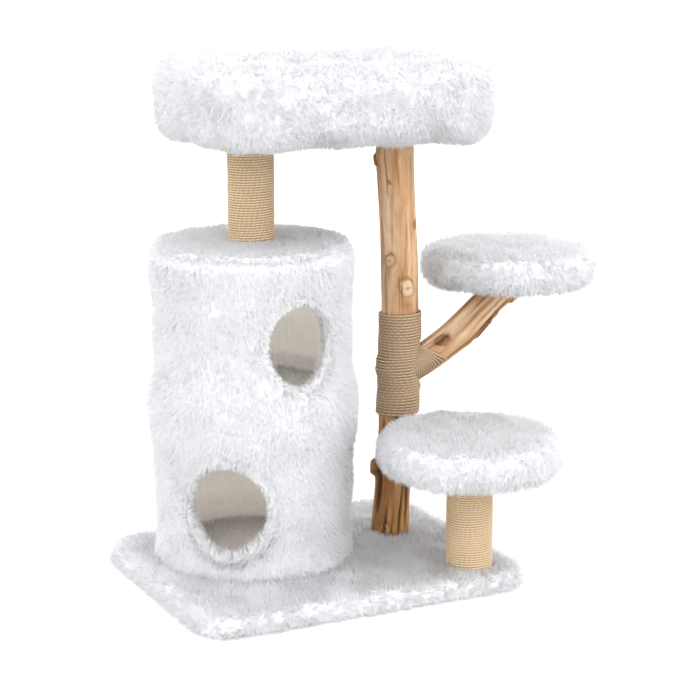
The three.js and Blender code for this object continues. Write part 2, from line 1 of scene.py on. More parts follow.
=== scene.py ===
"""A plush cat tree: shaggy white covers, wound rope and bare wood, built round its packed frame."""

import json
import math

import bmesh
import bpy
import numpy as np
from bpy.props import FloatProperty, FloatVectorProperty, IntProperty, PointerProperty
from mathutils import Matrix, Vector
from mathutils.bvhtree import BVHTree


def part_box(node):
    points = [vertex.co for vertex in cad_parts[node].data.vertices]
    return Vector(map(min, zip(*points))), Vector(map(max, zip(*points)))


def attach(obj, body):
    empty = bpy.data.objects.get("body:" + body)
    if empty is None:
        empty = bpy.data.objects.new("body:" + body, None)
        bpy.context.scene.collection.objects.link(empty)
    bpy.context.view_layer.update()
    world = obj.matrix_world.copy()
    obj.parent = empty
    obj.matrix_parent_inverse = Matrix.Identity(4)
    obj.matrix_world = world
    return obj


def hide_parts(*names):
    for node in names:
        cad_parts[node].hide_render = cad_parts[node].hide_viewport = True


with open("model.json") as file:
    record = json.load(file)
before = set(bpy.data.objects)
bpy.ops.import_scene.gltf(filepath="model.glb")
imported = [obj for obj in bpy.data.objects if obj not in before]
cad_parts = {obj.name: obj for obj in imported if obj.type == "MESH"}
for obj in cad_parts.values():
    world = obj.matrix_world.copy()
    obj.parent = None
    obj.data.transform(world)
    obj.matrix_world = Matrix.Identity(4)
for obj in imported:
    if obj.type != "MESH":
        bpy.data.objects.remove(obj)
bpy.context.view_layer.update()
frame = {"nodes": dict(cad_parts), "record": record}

bl_info = {
    "name": "Plush cat tree",
    "version": (1, 0, 0),
    "blender": (4, 5, 0),
    "location": "View3D > Sidebar > Cat Tree",
    "description": "Covers a cat tree's frame in plush, rope and wood",
    "category": "Object",
}

STAND = "stand"
CUSHION = "cushion"
MM = 0.001

HOUSE_ROWS = 90
BASE_CORNER = 0.055
BED_CORNER = 0.108
BED_NEST = (0.330, 0.200, 0.036)
CUSHION_CORNER = 0.034
HEM_WIDTH = 0.045
FABRIC_LIFT = 0.0005

# Where the pile's roots lie below the plush face, as a share of the pile's length.
ROOT_SHARE = 0.42
RIBBONS_PER_TUFT = 5
MOST_RIBBONS = 65000
STRAY_SHARE = 0.14

# Turns of a rope's strands in a length equal to its thickness.
STRAND_LAY = 0.58


# ---- Settings that a user would change -------------------------------------------------------


class PlushSettings(bpy.types.PropertyGroup):
    """The long white plush."""

    pile: FloatProperty(name="Pile length", description="Length of the tufts", default=0.014, unit="LENGTH")
    spacing: FloatProperty(
        name="Tuft spacing", description="Distance between tufts", default=0.0028, unit="LENGTH"
    )
    width: FloatProperty(
        name="Strand width", description="Width of a strand at its root", default=0.0007, unit="LENGTH"
    )
    tip_colour: FloatVectorProperty(
        name="Tip colour", description="Colour of the tips", subtype="COLOR", default=(0.978, 0.98, 0.99)
    )
    root_colour: FloatVectorProperty(
        name="Root colour", description="Colour near the cloth", subtype="COLOR", default=(0.968, 0.97, 0.98)
    )


class RopeSettings(bpy.types.PropertyGroup):
    """The sisal on the posts and the jute on the trunk."""

    sisal: FloatProperty(name="Sisal thickness", description="Pitch of the turns", default=0.0043, unit="LENGTH")
    jute: FloatProperty(name="Jute thickness", description="Pitch of the turns", default=0.0053, unit="LENGTH")
    sisal_colour: FloatVectorProperty(
        name="Sisal colour", description="Colour of the posts", subtype="COLOR", default=(0.93, 0.735, 0.493)
    )
    jute_colour: FloatVectorProperty(
        name="Jute colour", description="Colour of the trunk's wrap", subtype="COLOR", default=(0.60, 0.455, 0.31)
    )


class WoodSettings(bpy.types.PropertyGroup):
    """The natural trunk and branch."""

    grain: FloatProperty(name="Grid", description="Distance between surface points", default=0.0016, unit="LENGTH")
    pale: FloatVectorProperty(
        name="Pale wood", description="Colour of the clean wood", subtype="COLOR", default=(0.60, 0.44, 0.29)
    )
    branch: FloatVectorProperty(
        name="Branch wood", description="Colour of the clean branch", subtype="COLOR", default=(0.707, 0.539, 0.372)
    )
    warm: FloatVectorProperty(
        name="Warm wood", description="Colour of its broad bands", subtype="COLOR", default=(0.502, 0.298, 0.149)
    )
    # The foot colour is partly darker wood and partly painted shade from the perches above.
    foot: FloatVectorProperty(
        name="Foot wood and painted shade", description="Colour of the trunk below its wrap", subtype="COLOR", default=(0.502, 0.279, 0.0977)
    )
    stain: FloatVectorProperty(
        name="Bark stain", description="Colour of the streaks", subtype="COLOR", default=(0.28, 0.12, 0.042)
    )
    dark: FloatVectorProperty(
        name="Dark wood", description="Colour of knots and cracks", subtype="COLOR", default=(0.075, 0.032, 0.012)
    )
    cut: FloatVectorProperty(
        name="Sawn wood", description="Colour of cut knots", subtype="COLOR", default=(0.55, 0.41, 0.25)
    )


class StageSettings(bpy.types.PropertyGroup):
    """The floor, the light and the camera."""

    azimuth: FloatProperty(name="Azimuth", description="Camera's turn", subtype="ANGLE", default=math.radians(-26.6))
    height: FloatProperty(name="Elevation", description="Camera's height", subtype="ANGLE", default=math.radians(12.5))
    distance: FloatProperty(name="Distance", description="Camera's distance", default=3.2, unit="LENGTH")
    lens: FloatProperty(name="Lens", description="Focal length in millimetres", default=99.1)
    floor: FloatVectorProperty(name="Floor", description="Floor colour", subtype="COLOR", default=(0.80, 0.80, 0.80))
    sky: FloatProperty(name="Fill light", description="Strength of the light from the horizon", default=2.05)


# ---- Node trees ---------------------------------------------------------------------------------


def add(tree, kind, inputs=None, **settings):
    """Adds a node, with its settings, and its inputs as values or as sockets to link."""
    node = tree.nodes.new(kind)
    for key, value in settings.items():
        setattr(node, key, value)
    for key, value in (inputs or {}).items():
        if isinstance(value, bpy.types.NodeSocket):
            tree.links.new(value, node.inputs[key])
        else:
            node.inputs[key].default_value = value
    return node


def colour(value):
    return (*value[:3], 1.0)


def mix(tree, factor, a, b, blend="MIX"):
    """Mixes two colours and gives the mixed one."""
    node = add(tree, "ShaderNodeMix", {0: factor, 6: a, 7: b}, data_type="RGBA", blend_type=blend)
    return node.outputs[2]


def maths(tree, operation, a, b=0.0):
    return add(tree, "ShaderNodeMath", {0: a, 1: b}, operation=operation).outputs[0]


def spread(tree, value, low, high):
    """Stretches a value so that low becomes 0 and high becomes 1."""
    node = add(tree, "ShaderNodeMapRange", {"Value": value, "From Min": low, "From Max": high})
    return node.outputs["Result"]


def noise(tree, vector, scale, detail=4.0, roughness=0.55):
    inputs = {"Vector": vector, "Scale": scale, "Detail": detail, "Roughness": roughness}
    return add(tree, "ShaderNodeTexNoise", inputs).outputs["Fac"]


def attribute(tree, name):
    return add(tree, "ShaderNodeAttribute", attribute_name=name).outputs["Fac"]


def effect(name, inputs, outputs, build):
    """A shader node group: inputs and outputs are {name: kind}, and build(tree, sockets) gives the outputs."""
    if name in bpy.data.node_groups:
        return bpy.data.node_groups[name]
    tree = bpy.data.node_groups.new(name, "ShaderNodeTree")
    for key, kind in inputs.items():
        tree.interface.new_socket(key, in_out="INPUT", socket_type="NodeSocket" + kind)
    for key, kind in outputs.items():
        tree.interface.new_socket(key, in_out="OUTPUT", socket_type="NodeSocket" + kind)
    start = tree.nodes.new("NodeGroupInput")
    end = tree.nodes.new("NodeGroupOutput")
    for key, socket in build(tree, start.outputs).items():
        tree.links.new(socket, end.inputs[key])
    return tree


def use(tree, group, inputs):
    """Places an effect in a material."""
    return add(tree, "ShaderNodeGroup", node_tree=group) if not inputs else _filled(tree, group, inputs)


def _filled(tree, group, inputs):
    node = tree.nodes.new("ShaderNodeGroup")
    node.node_tree = group
    for key, value in inputs.items():
        if isinstance(value, bpy.types.NodeSocket):
            tree.links.new(value, node.inputs[key])
        else:
            node.inputs[key].default_value = value
    return node


def mottle_effect():
    """Two colours in soft patches with fine grain over them."""

    def build(tree, given):
        place = given["Place"]
        patches = noise(tree, place, given["Scale"], 3.0)
        fine = noise(tree, place, maths(tree, "MULTIPLY", given["Scale"], 14.0), 5.0, 0.65)
        both = maths(tree, "ADD", maths(tree, "MULTIPLY", patches, 0.6), maths(tree, "MULTIPLY", fine, 0.4))
        share = spread(tree, both, 0.36, 0.64)
        return {"Colour": mix(tree, share, given["Light"], given["Dark"]), "Height": fine}

    inputs = {"Place": "Vector", "Scale": "Float", "Light": "Color", "Dark": "Color"}
    return effect("Mottle", inputs, {"Colour": "Color", "Height": "Float"}, build)


def drawn_out(tree, place, along):
    """A place squeezed along Z, so that a noise read there is drawn out by 1/along."""
    return add(tree, "ShaderNodeMapping", {"Vector": place, "Scale": (1.0, 1.0, along)}).outputs[0]


def grain_effect():
    """Wood grain drawn out along Z, with bark stains, knots and cracks."""

    def build(tree, given):
        bend = add(tree, "ShaderNodeTexNoise", {"Vector": given["Place"], "Scale": 11.0, "Detail": 2.0})
        shift = add(
            tree, "ShaderNodeVectorMath", {0: bend.outputs["Color"], "Scale": 0.016}, operation="SCALE"
        ).outputs[0]
        place = add(tree, "ShaderNodeVectorMath", {0: given["Place"], 1: shift}, operation="ADD").outputs[0]
        broad = noise(tree, drawn_out(tree, place, 0.16), 36.0, 3.0)
        tone = mix(tree, spread(tree, broad, 0.38, 0.58), given["Pale"], given["Warm"])
        grey = spread(tree, noise(tree, drawn_out(tree, place, 0.4), 24.0, 3.0), 0.50, 0.68)
        tone = mix(tree, maths(tree, "MULTIPLY", grey, 0.5), tone, (0.36, 0.26, 0.17, 1.0))
        streak = noise(tree, drawn_out(tree, place, 0.05), 105.0, 5.0, 0.62)
        streaks = spread(tree, streak, 0.51, 0.67)
        tone = mix(tree, maths(tree, "MULTIPLY", streaks, 0.72), tone, given["Stain"])
        fibres = noise(tree, drawn_out(tree, place, 0.025), 520.0, 4.0, 0.7)
        lines = spread(tree, fibres, 0.40, 0.72)
        tone = mix(tree, maths(tree, "MULTIPLY", lines, 0.42), tone, given["Stain"])
        specks = spread(tree, noise(tree, drawn_out(tree, place, 0.5), 330.0, 3.0), 0.64, 0.72)
        tone = mix(tree, maths(tree, "MULTIPLY", specks, 0.5), tone, given["Dark"])
        tone = mix(tree, given["Rust"], tone, given["Stain"])
        tone = mix(tree, given["Sawn"], tone, given["Cut face"])
        tone = mix(tree, given["Marks"], tone, given["Dark"])
        height = maths(tree, "SUBTRACT", maths(tree, "MULTIPLY", fibres, 0.6), maths(tree, "MULTIPLY", streaks, 0.5))
        return {"Colour": tone, "Height": height, "Roughness": spread(tree, fibres, -1.6, 1.4)}

    colours = {key: "Color" for key in ("Pale", "Warm", "Stain", "Dark", "Cut face")}
    masks = {key: "Float" for key in ("Rust", "Sawn", "Marks")}
    outputs = {"Colour": "Color", "Height": "Float", "Roughness": "Float"}
    return effect("Wood grain", {"Place": "Vector", **colours, **masks}, outputs, build)


def yarn_effect():
    """Fibres twisted along a rope, from how far along and how far round it a place is, with painted shade in the
    grooves between its strands and where its turns meet.
    """

    def build(tree, given):
        strand = maths(tree, "MULTIPLY", given["Around"], 3.0)
        turns = maths(tree, "ADD", strand, maths(tree, "MULTIPLY", given["Along"], given["Twist"]))
        wave = maths(tree, "COSINE", maths(tree, "MULTIPLY", turns, 6.2832))
        lay = spread(tree, wave, -0.9, 0.5)
        place = add(tree, "ShaderNodeCombineXYZ", {0: turns, 1: maths(tree, "MULTIPLY", given["Along"], 0.12)})
        fibres = noise(tree, place.outputs[0], 9.0, 4.0, 0.7)
        tone = mix(tree, spread(tree, fibres, 0.34, 0.66), given["Light"], given["Middle"])
        patches = spread(tree, noise(tree, given["Place"], 40.0, 3.0), 0.35, 0.7)
        tone = mix(tree, maths(tree, "MULTIPLY", patches, 0.35), tone, given["Middle"])
        specks = spread(tree, noise(tree, given["Place"], 480.0, 2.0), 0.62, 0.70)
        tone = mix(tree, maths(tree, "MULTIPLY", specks, 0.4), tone, given["Dark"])
        # Painted shade in the grooves between the three strands, where lay is low.
        tone = mix(tree, lay, given["Shade"], tone)
        # Painted shade in the crevices where each turn of rope meets the next, at the top and bottom of the rope, in
        # the Dark colour.
        side = maths(tree, "SINE", maths(tree, "MULTIPLY", given["Around"], 6.2832))
        turn_crevice_shade = maths(tree, "POWER", maths(tree, "ABSOLUTE", side), 5.0)
        tone = mix(tree, maths(tree, "MULTIPLY", turn_crevice_shade, 0.9), tone, given["Dark"])
        height = maths(tree, "ADD", maths(tree, "MULTIPLY", lay, 0.7), maths(tree, "MULTIPLY", fibres, 0.5))
        return {"Colour": tone, "Height": height}

    inputs = {
        "Place": "Vector", "Along": "Float", "Around": "Float", "Twist": "Float",
        "Light": "Color", "Middle": "Color", "Shade": "Color", "Dark": "Color",
    }
    return effect("Twisted yarn", inputs, {"Colour": "Color", "Height": "Float"}, build)


def new_material(name, roughness=0.8, metallic=0.0, sheen=0.0):
    """A material with its Principled shader, and the place on the object that its effects read."""
    material = bpy.data.materials.new(name)
    material.use_nodes = True
    tree = material.node_tree
    shader = tree.nodes["Principled BSDF"]
    shader.inputs["Roughness"].default_value = roughness
    shader.inputs["Metallic"].default_value = metallic
    shader.inputs["Sheen Weight"].default_value = sheen
    shader.inputs["Specular IOR Level"].default_value = 0.5 if metallic else 0.25
    place = add(tree, "ShaderNodeTexCoord").outputs["Object"]
    return material, tree, shader, place


def bump(tree, shader, height, distance, strength=1.0):
    inputs = {"Height": height, "Distance": distance, "Strength": strength}
    tree.links.new(add(tree, "ShaderNodeBump", inputs).outputs[0], shader.inputs["Normal"])


def mottled(name, light, dark, scale, roughness, depth, metallic=0.0, sheen=0.0):
    """A plain finish with patches and fine grain."""
    if name in bpy.data.materials:
        return bpy.data.materials[name]
    material, tree, shader, place = new_material(name, roughness, metallic, sheen)
    inputs = {"Place": place, "Scale": scale, "Light": colour(light), "Dark": colour(dark)}
    made = use(tree, mottle_effect(), inputs)
    tree.links.new(made.outputs["Colour"], shader.inputs["Base Color"])
    bump(tree, shader, made.outputs["Height"], depth)
    return material


def pile_material():
    """White strands that darken a little towards their roots, each tuft with its own tone."""
    name = "White pile"
    if name in bpy.data.materials:
        return bpy.data.materials[name]
    plush = bpy.context.scene.cat_tree_plush
    material, tree, shader, place = new_material(name, 0.75)
    inputs = {
        "Place": place,
        "Scale": 30.0,
        "Light": colour(plush.tip_colour),
        "Dark": colour([0.985 * c for c in plush.tip_colour]),
    }
    made = use(tree, mottle_effect(), inputs)
    tone = mix(tree, attribute(tree, "tip"), colour(plush.root_colour), made.outputs["Colour"])
    shade = maths(tree, "MULTIPLY", attribute(tree, "tuft"), 0.02)
    tone = mix(tree, shade, tone, colour((0.62, 0.64, 0.70)))
    tree.links.new(tone, shader.inputs["Base Color"])
    let_light_through(tree, shader, tone, 0.56)
    return material


def let_light_through(tree, shader, tone, share):
    """Thin strands pass a share of the light on to their far side."""
    through = add(tree, "ShaderNodeBsdfTranslucent", {"Color": tone})
    both = add(tree, "ShaderNodeMixShader", {0: share, 1: shader.outputs[0], 2: through.outputs[0]})
    tree.links.new(both.outputs[0], tree.nodes["Material Output"].inputs["Surface"])


def backing_material():
    plush = bpy.context.scene.cat_tree_plush
    light = [0.98 * c for c in plush.root_colour]
    dark = [0.86 * c for c in plush.root_colour]
    return mottled("Plush backing", light, dark, 60.0, 0.9, 0.0008)


def wood_material(name, tilt, pale):
    """Bare wood whose grain runs up an axis that leans by tilt from Z towards X."""
    wood = bpy.context.scene.cat_tree_wood
    material, tree, shader, place = new_material(name, 0.55)
    along = add(tree, "ShaderNodeMapping", {"Vector": place, "Rotation": (0.0, -tilt, 0.0)}).outputs[0]
    # Darker and more orange towards the foot of the trunk: partly darker wood, partly painted shade from the perches
    # above it.
    low = spread(tree, add(tree, "ShaderNodeSeparateXYZ", {0: place}).outputs[2], 0.27, 0.24)
    pale = mix(tree, low, colour(pale), colour(wood.foot))
    deep = [0.66 * wood.foot[0], 0.58 * wood.foot[1], 0.48 * wood.foot[2]]
    warm = mix(tree, low, colour(wood.warm), colour(deep))
    inputs = {
        "Place": along,
        "Pale": pale,
        "Warm": warm,
        "Stain": colour(wood.stain),
        "Dark": colour(wood.dark),
        "Cut face": colour(wood.cut),
        "Rust": attribute(tree, "rust"),
        "Sawn": attribute(tree, "sawn"),
        "Marks": attribute(tree, "marks"),
    }
    made = use(tree, grain_effect(), inputs)
    tree.links.new(made.outputs["Colour"], shader.inputs["Base Color"])
    tree.links.new(made.outputs["Roughness"], shader.inputs["Roughness"])
    bump(tree, shader, made.outputs["Height"], 0.0006)
    return material


def rope_material(name, light):
    """Twisted natural fibre."""
    if name in bpy.data.materials:
        return bpy.data.materials[name]
    material, tree, shader, place = new_material(name, 0.85)
    # middle is a fibre colour; shade is painted shade between the strands; dark is the colour of dark fibres and also
    # painted shade where the turns meet.
    middle = [0.74 * light[0], 0.70 * light[1], 0.66 * light[2]]
    shade = [0.62 * light[0], 0.57 * light[1], 0.52 * light[2]]
    dark = [0.26 * light[0], 0.22 * light[1], 0.18 * light[2]]
    inputs = {
        "Place": place,
        "Along": attribute(tree, "along"),
        "Around": attribute(tree, "around"),
        "Twist": STRAND_LAY,
        "Light": colour(light),
        "Middle": colour(middle),
        "Shade": colour(shade),
        "Dark": colour(dark),
    }
    made = use(tree, yarn_effect(), inputs)
    tree.links.new(made.outputs["Colour"], shader.inputs["Base Color"])
    bump(tree, shader, made.outputs["Height"], 0.0006)
    return material


# ---- Meshes from arrays ---------------------------------------------------------------------------


def mesh_of(name, points, faces, values=None, smooth=True):
    """A mesh object from points and faces, all with the same number of corners, and values at its points."""
    mesh = bpy.data.meshes.new(name)
    sides = faces.shape[1]
    mesh.vertices.add(len(points))
    mesh.vertices.foreach_set("co", np.ascontiguousarray(points, np.float32).ravel())
    mesh.loops.add(faces.size)
    mesh.loops.foreach_set("vertex_index", np.ascontiguousarray(faces, np.int32).ravel())
    mesh.polygons.add(len(faces))
    mesh.polygons.foreach_set("loop_start", np.arange(0, faces.size, sides, dtype=np.int32))
    mesh.update(calc_edges=True)
    mesh.validate()
    if smooth:
        mesh.shade_smooth()
    for key, data in (values or {}).items():
        layer = mesh.attributes.new(key, "FLOAT", "POINT")
        layer.data.foreach_set("value", np.ascontiguousarray(data, np.float32))
    piece = bpy.data.objects.new(name, mesh)
    bpy.context.scene.collection.objects.link(piece)
    return piece


def finish_piece(piece, material, slot, *nodes, body=STAND):
    """Gives a piece its material and its body, and hides the nodes that it stands for. Its slot is not used."""
    piece.data.materials.clear()
    piece.data.materials.append(material)
    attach(piece, body)
    if nodes:
        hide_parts(*nodes)
    return piece


def points_of(piece):
    """The points, point normals and triangles of a piece, as arrays."""
    mesh = piece.data
    mesh.calc_loop_triangles()
    points = np.zeros(len(mesh.vertices) * 3, np.float32)
    normals = np.zeros(len(mesh.vertices) * 3, np.float32)
    triangles = np.zeros(len(mesh.loop_triangles) * 3, np.int32)
    mesh.vertices.foreach_get("co", points)
    mesh.vertex_normals.foreach_get("vector", normals)
    mesh.loop_triangles.foreach_get("vertices", triangles)
    return points.reshape(-1, 3).astype(float), normals.reshape(-1, 3).astype(float), triangles.reshape(-1, 3)


def unit(vectors):
    return vectors / np.maximum(np.linalg.norm(vectors, axis=1, keepdims=True), 1e-9)


def wobble(points, size, seed):
    """A smooth random value about zero at each point, whose waves are about size across."""
    rng = np.random.default_rng(seed)
    total = np.zeros(len(points))
    waves = 9
    for _ in range(waves):
        direction = rng.normal(size=3)
        direction *= 2 * math.pi / (np.linalg.norm(direction) * size * rng.uniform(0.7, 1.8))
        total += np.sin(points @ direction + rng.uniform(0, 2 * math.pi))
    return total / math.sqrt(waves / 2)


def wobble_vectors(points, size, seed):
    return np.stack([wobble(points, size, seed + k) for k in range(3)], axis=1)


# ---- Lofted skins ------------------------------------------------------------------------------------


def outline(length, width, corner, inset, step):
    """Points round a rectangle with rounded corners, moved in by inset, with the same count at any inset."""
    arc = max(4, round(corner * math.pi / 2 / step))
    runs = [max(1, round((side - 2 * corner) / step)) for side in (width, length)]
    radius = max(corner - inset, 0.0)
    reach = (max(length / 2 - inset - radius, 0.0), max(width / 2 - inset - radius, 0.0))
    points = []
    for k, (sx, sy) in enumerate(((1, -1), (1, 1), (-1, 1), (-1, -1))):
        for i in range(arc + 1):
            angle = math.pi / 2 * (k - 1 + i / arc)
            points.append((sx * reach[0] + radius * math.cos(angle), sy * reach[1] + radius * math.sin(angle)))
        run = runs[k % 2]
        start = np.array(points[-1])
        nx, ny = ((1, 1), (-1, 1), (-1, -1), (1, -1))[k]
        after = math.pi / 2 * k
        end = np.array((nx * reach[0] + radius * math.cos(after), ny * reach[1] + radius * math.sin(after)))
        points += [tuple(start + (end - start) * i / run) for i in range(1, run)]
    return np.array(points)


def loft(name, size, centre, profile, step, closed=False, cap=True):
    """A skin through outlines given as (inset, height), joined in a ring where closed."""
    rings = [outline(*size, inset, step) for inset, _ in profile]
    around = len(rings[0])
    points = np.concatenate(
        [np.column_stack([ring, np.full(around, height)]) for ring, (_, height) in zip(rings, profile)]
    )
    points[:, :2] += np.array(centre)[:2]
    rows = len(profile)
    j = np.arange(around)
    following = (j + 1) % around
    faces = []
    for i in range(rows if closed else rows - 1):
        low, high = i * around, (i + 1) % rows * around
        faces.append(np.stack([low + j, low + following, high + following, high + j], axis=1))
    piece = mesh_of(name, points, np.concatenate(faces))
    if cap and not closed:
        made = bmesh.new()
        made.from_mesh(piece.data)
        made.verts.ensure_lookup_table()
        made.faces.new([made.verts[(rows - 1) * around + int(k)] for k in j])
        made.to_mesh(piece.data)
        made.free()
    weld(piece)
    return piece


def weld(piece, distance=1e-5):
    """Joins points that lie on each other and drops faces with no area."""
    made = bmesh.new()
    made.from_mesh(piece.data)
    bmesh.ops.remove_doubles(made, verts=made.verts, dist=distance)
    bmesh.ops.dissolve_degenerate(made, edges=made.edges, dist=distance)
    made.to_mesh(piece.data)
    made.free()
    piece.data.shade_smooth()


def keep_faces(piece, test):
    """Drops the faces whose centre fails the test, which takes an array of places."""
    made = bmesh.new()
    made.from_mesh(piece.data)
    middles = np.array([face.calc_center_median() for face in made.faces])
    good = test(middles)
    gone = [face for face, fine in zip(made.faces, good) if not fine]
    bmesh.ops.delete(made, geom=gone, context="FACES")
    made.to_mesh(piece.data)
    made.free()


def ruffle(piece, depth, size, seed):
    """Moves a skin in and out by a smooth random amount."""
    points, normals, _ = points_of(piece)
    points += normals * (depth * wobble(points, size, seed))[:, None]
    piece.data.vertices.foreach_set("co", points.astype(np.float32).ravel())
    piece.data.update()


def puff(piece, pressure, cap, seed):
    """Fills a closed cover by a cloth simulation, and lets no point travel further than cap."""
    before, _, _ = points_of(piece)
    scene = bpy.context.scene
    cloth = piece.modifiers.new("Cloth", "CLOTH")
    cloth.settings.quality = 4
    cloth.settings.mass = 0.4
    cloth.settings.tension_stiffness = 12
    cloth.settings.compression_stiffness = 12
    cloth.settings.shear_stiffness = 6
    cloth.settings.bending_stiffness = 1.5
    cloth.settings.use_pressure = True
    cloth.settings.uniform_pressure_force = pressure
    cloth.settings.effector_weights.gravity = 0
    cloth.collision_settings.use_collision = False
    cloth.point_cache.frame_start = 1
    cloth.point_cache.frame_end = 20
    for number in range(1, 21):
        scene.frame_set(number)
    graph = bpy.context.evaluated_depsgraph_get()
    swollen = piece.evaluated_get(graph).to_mesh()
    after = np.zeros(len(swollen.vertices) * 3, np.float32)
    swollen.vertices.foreach_get("co", after)
    piece.evaluated_get(graph).to_mesh_clear()
    piece.modifiers.remove(cloth)
    scene.frame_set(1)
    travel = after.reshape(-1, 3) - before
    far = np.maximum(np.linalg.norm(travel, axis=1, keepdims=True), 1e-9)
    points = before + travel * np.minimum(1.0, cap / far)
    piece.data.vertices.foreach_set("co", points.astype(np.float32).ravel())
    piece.data.update()


# ---- Pile -----------------------------------------------------------------------------------------------


def scatter(skin, spacing, rng, test=None):
    """Random places on a skin, spacing apart on average: points and normals."""
    points, normals, triangles = points_of(skin)
    a, b, c = (points[triangles[:, k]] for k in range(3))
    areas = np.linalg.norm(np.cross(b - a, c - a), axis=1) / 2
    count = int(areas.sum() / spacing**2)
    chosen = rng.choice(len(areas), count, p=areas / areas.sum())
    u, v = rng.random((2, count, 1))
    u, v = np.where(u + v > 1, 1 - u, u), np.where(u + v > 1, 1 - v, v)
    shares = (1 - u - v, u, v)
    places = sum(share * points[triangles[chosen, k]] for k, share in enumerate(shares))
    outward = unit(sum(share * normals[triangles[chosen, k]] for k, share in enumerate(shares)))
    if test is not None:
        good = test(places)
        places, outward = places[good], outward[good]
    return places, outward


def grow_pile(name, skin, seed, fall=0.5, length=1.0, spacing=1.0, lean=(0.4, 1.05), test=None, comb=None):
    """Tufts of tapered strands on a skin, in one or more pieces from left to right.

    fall is how much they hang down, and comb gives the way they are brushed at each place.
    """
    plush = bpy.context.scene.cat_tree_plush
    rng = np.random.default_rng(seed)
    places, outward = scatter(skin, plush.spacing * spacing, rng, test)
    parts = max(1, math.ceil(len(places) * RIBBONS_PER_TUFT / MOST_RIBBONS))
    pieces = []
    for k, chosen in enumerate(np.array_split(np.argsort(places[:, 0]), parts)):
        part = name if parts == 1 else f"{name}_{k + 1}"
        pieces.append(grow_strands(part, places[chosen], outward[chosen], seed, rng, fall, length, lean, comb))
    return pieces


def grow_strands(name, places, outward, seed, rng, fall, length, lean, comb):
    """One piece of pile: a tuft of strands at each place."""
    plush = bpy.context.scene.cat_tree_plush
    pile = plush.pile * length
    count = len(places)
    flow = wobble_vectors(places, 0.06, seed) * 0.4 + rng.normal(size=(count, 3)) * 0.32
    flow += np.array([0.0, 0.0, -1.0]) * fall * 2.0
    if comb is not None:
        flow += comb(places)
    flow -= outward * (flow * outward).sum(1, keepdims=True)
    pull = np.linalg.norm(flow, axis=1, keepdims=True)
    flow = unit(flow)
    tilt = rng.uniform(*lean, size=(count, 1)) * np.clip(pull / 0.9, 0.3, 1.0)
    tilt[rng.random(count) < STRAY_SHARE] *= 0.3
    aim = unit(outward * np.cos(tilt) + flow * np.sin(tilt))
    reach = pile * rng.uniform(0.78, 1.10, size=(count, 1))
    bow = outward * 0.14 * reach
    droop = np.array([0.0, 0.0, -1.0]) * fall * 0.2 * reach

    n = count * RIBBONS_PER_TUFT
    own = np.repeat(np.arange(count), RIBBONS_PER_TUFT)
    spin = rng.normal(size=(n, 3))
    spin -= outward[own] * (spin * outward[own]).sum(1, keepdims=True)
    root = places[own] + spin * 0.6 * plush.spacing
    tip = places[own] + (aim * reach)[own] * rng.uniform(0.75, 1.08, size=(n, 1))
    tip += rng.normal(size=(n, 3)) * 0.10 * pile + droop[own]
    middle = (root * 0.46 + tip * 0.54) + bow[own]
    along = unit(tip - root)
    across = unit(np.cross(along, outward[own]) + rng.normal(size=(n, 3)) * 0.2)
    half = across * plush.width * 0.5 * rng.uniform(0.7, 1.3, size=(n, 1))
    points = np.stack([root - half, root + half, middle - half * 0.75, middle + half * 0.75, tip], axis=1)
    points[..., 2] = np.maximum(points[..., 2], FABRIC_LIFT)
    k = np.arange(n) * 5
    faces = np.concatenate(
        [
            np.stack([k, k + 1, k + 3], axis=1),
            np.stack([k, k + 3, k + 2], axis=1),
            np.stack([k + 2, k + 3, k + 4], axis=1),
        ]
    )
    values = {
        "tip": np.tile([0.0, 0.0, 0.6, 0.6, 1.0], n),
        "tuft": np.repeat(rng.random(count)[own], 5),
    }
    piece = mesh_of(name, points.reshape(-1, 3), faces, values)
    soften(piece, np.repeat(outward[own], 5, axis=0))
    return piece


def soften(piece, outward):
    """Turns the strands' shading normals towards the skin's, so that the pile shades as one surface."""
    _, normals, _ = points_of(piece)
    facing = np.where((normals * outward).sum(1, keepdims=True) < 0, -normals, normals)
    piece.data.normals_split_custom_set_from_vertices(unit(facing * 0.06 + outward).astype(np.float32))


def plush_piece(skin, name, nodes, seed, body=STAND, **pile):
    """Finishes a skin as backing cloth and grows its pile. Gives the pile."""
    finish_piece(skin, backing_material(), "white_plush", *nodes, body=body)
    return [
        finish_piece(strands, pile_material(), "white_plush", *nodes, body=body)
        for strands in grow_pile(name, skin, seed, **pile)
    ]


# ---- Sizes read from the frame ------------------------------------------------------------------------------


def middle_of(node):
    low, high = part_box(node)
    return (low + high) / 2


def size_of(node):
    low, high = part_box(node)
    return high - low


def node_points(node):
    mesh = frame["nodes"][node].data
    points = np.zeros(len(mesh.vertices) * 3, np.float32)
    mesh.vertices.foreach_get("co", points)
    return points.reshape(-1, 3).astype(float)


def house_axis():
    middle = middle_of("house_roof_plush")
    return np.array([middle.x, middle.y])


def side_outline(node):
    """Heights and outer radii of a round node that stands on the house's axis."""
    points = node_points(node)
    radii = np.linalg.norm(points[:, :2] - house_axis(), axis=1)
    heights = np.unique(np.round(points[:, 2], 4))
    widest = [radii[np.abs(points[:, 2] - height) < 0.0002].max() for height in heights]
    return heights, np.array(widest)


def smooth_side(node, low, high, rows):
    """The side outline of a node, smoothed, at even heights."""
    heights, radii = side_outline(node)
    solid = radii > radii.max() * 0.88
    at = np.linspace(low, high, rows)
    radius = np.interp(at, heights[solid], radii[solid])
    window = np.hanning(17)
    padded = np.pad(radius, 8, mode="edge")
    return at, np.convolve(padded, window / window.sum(), mode="valid")


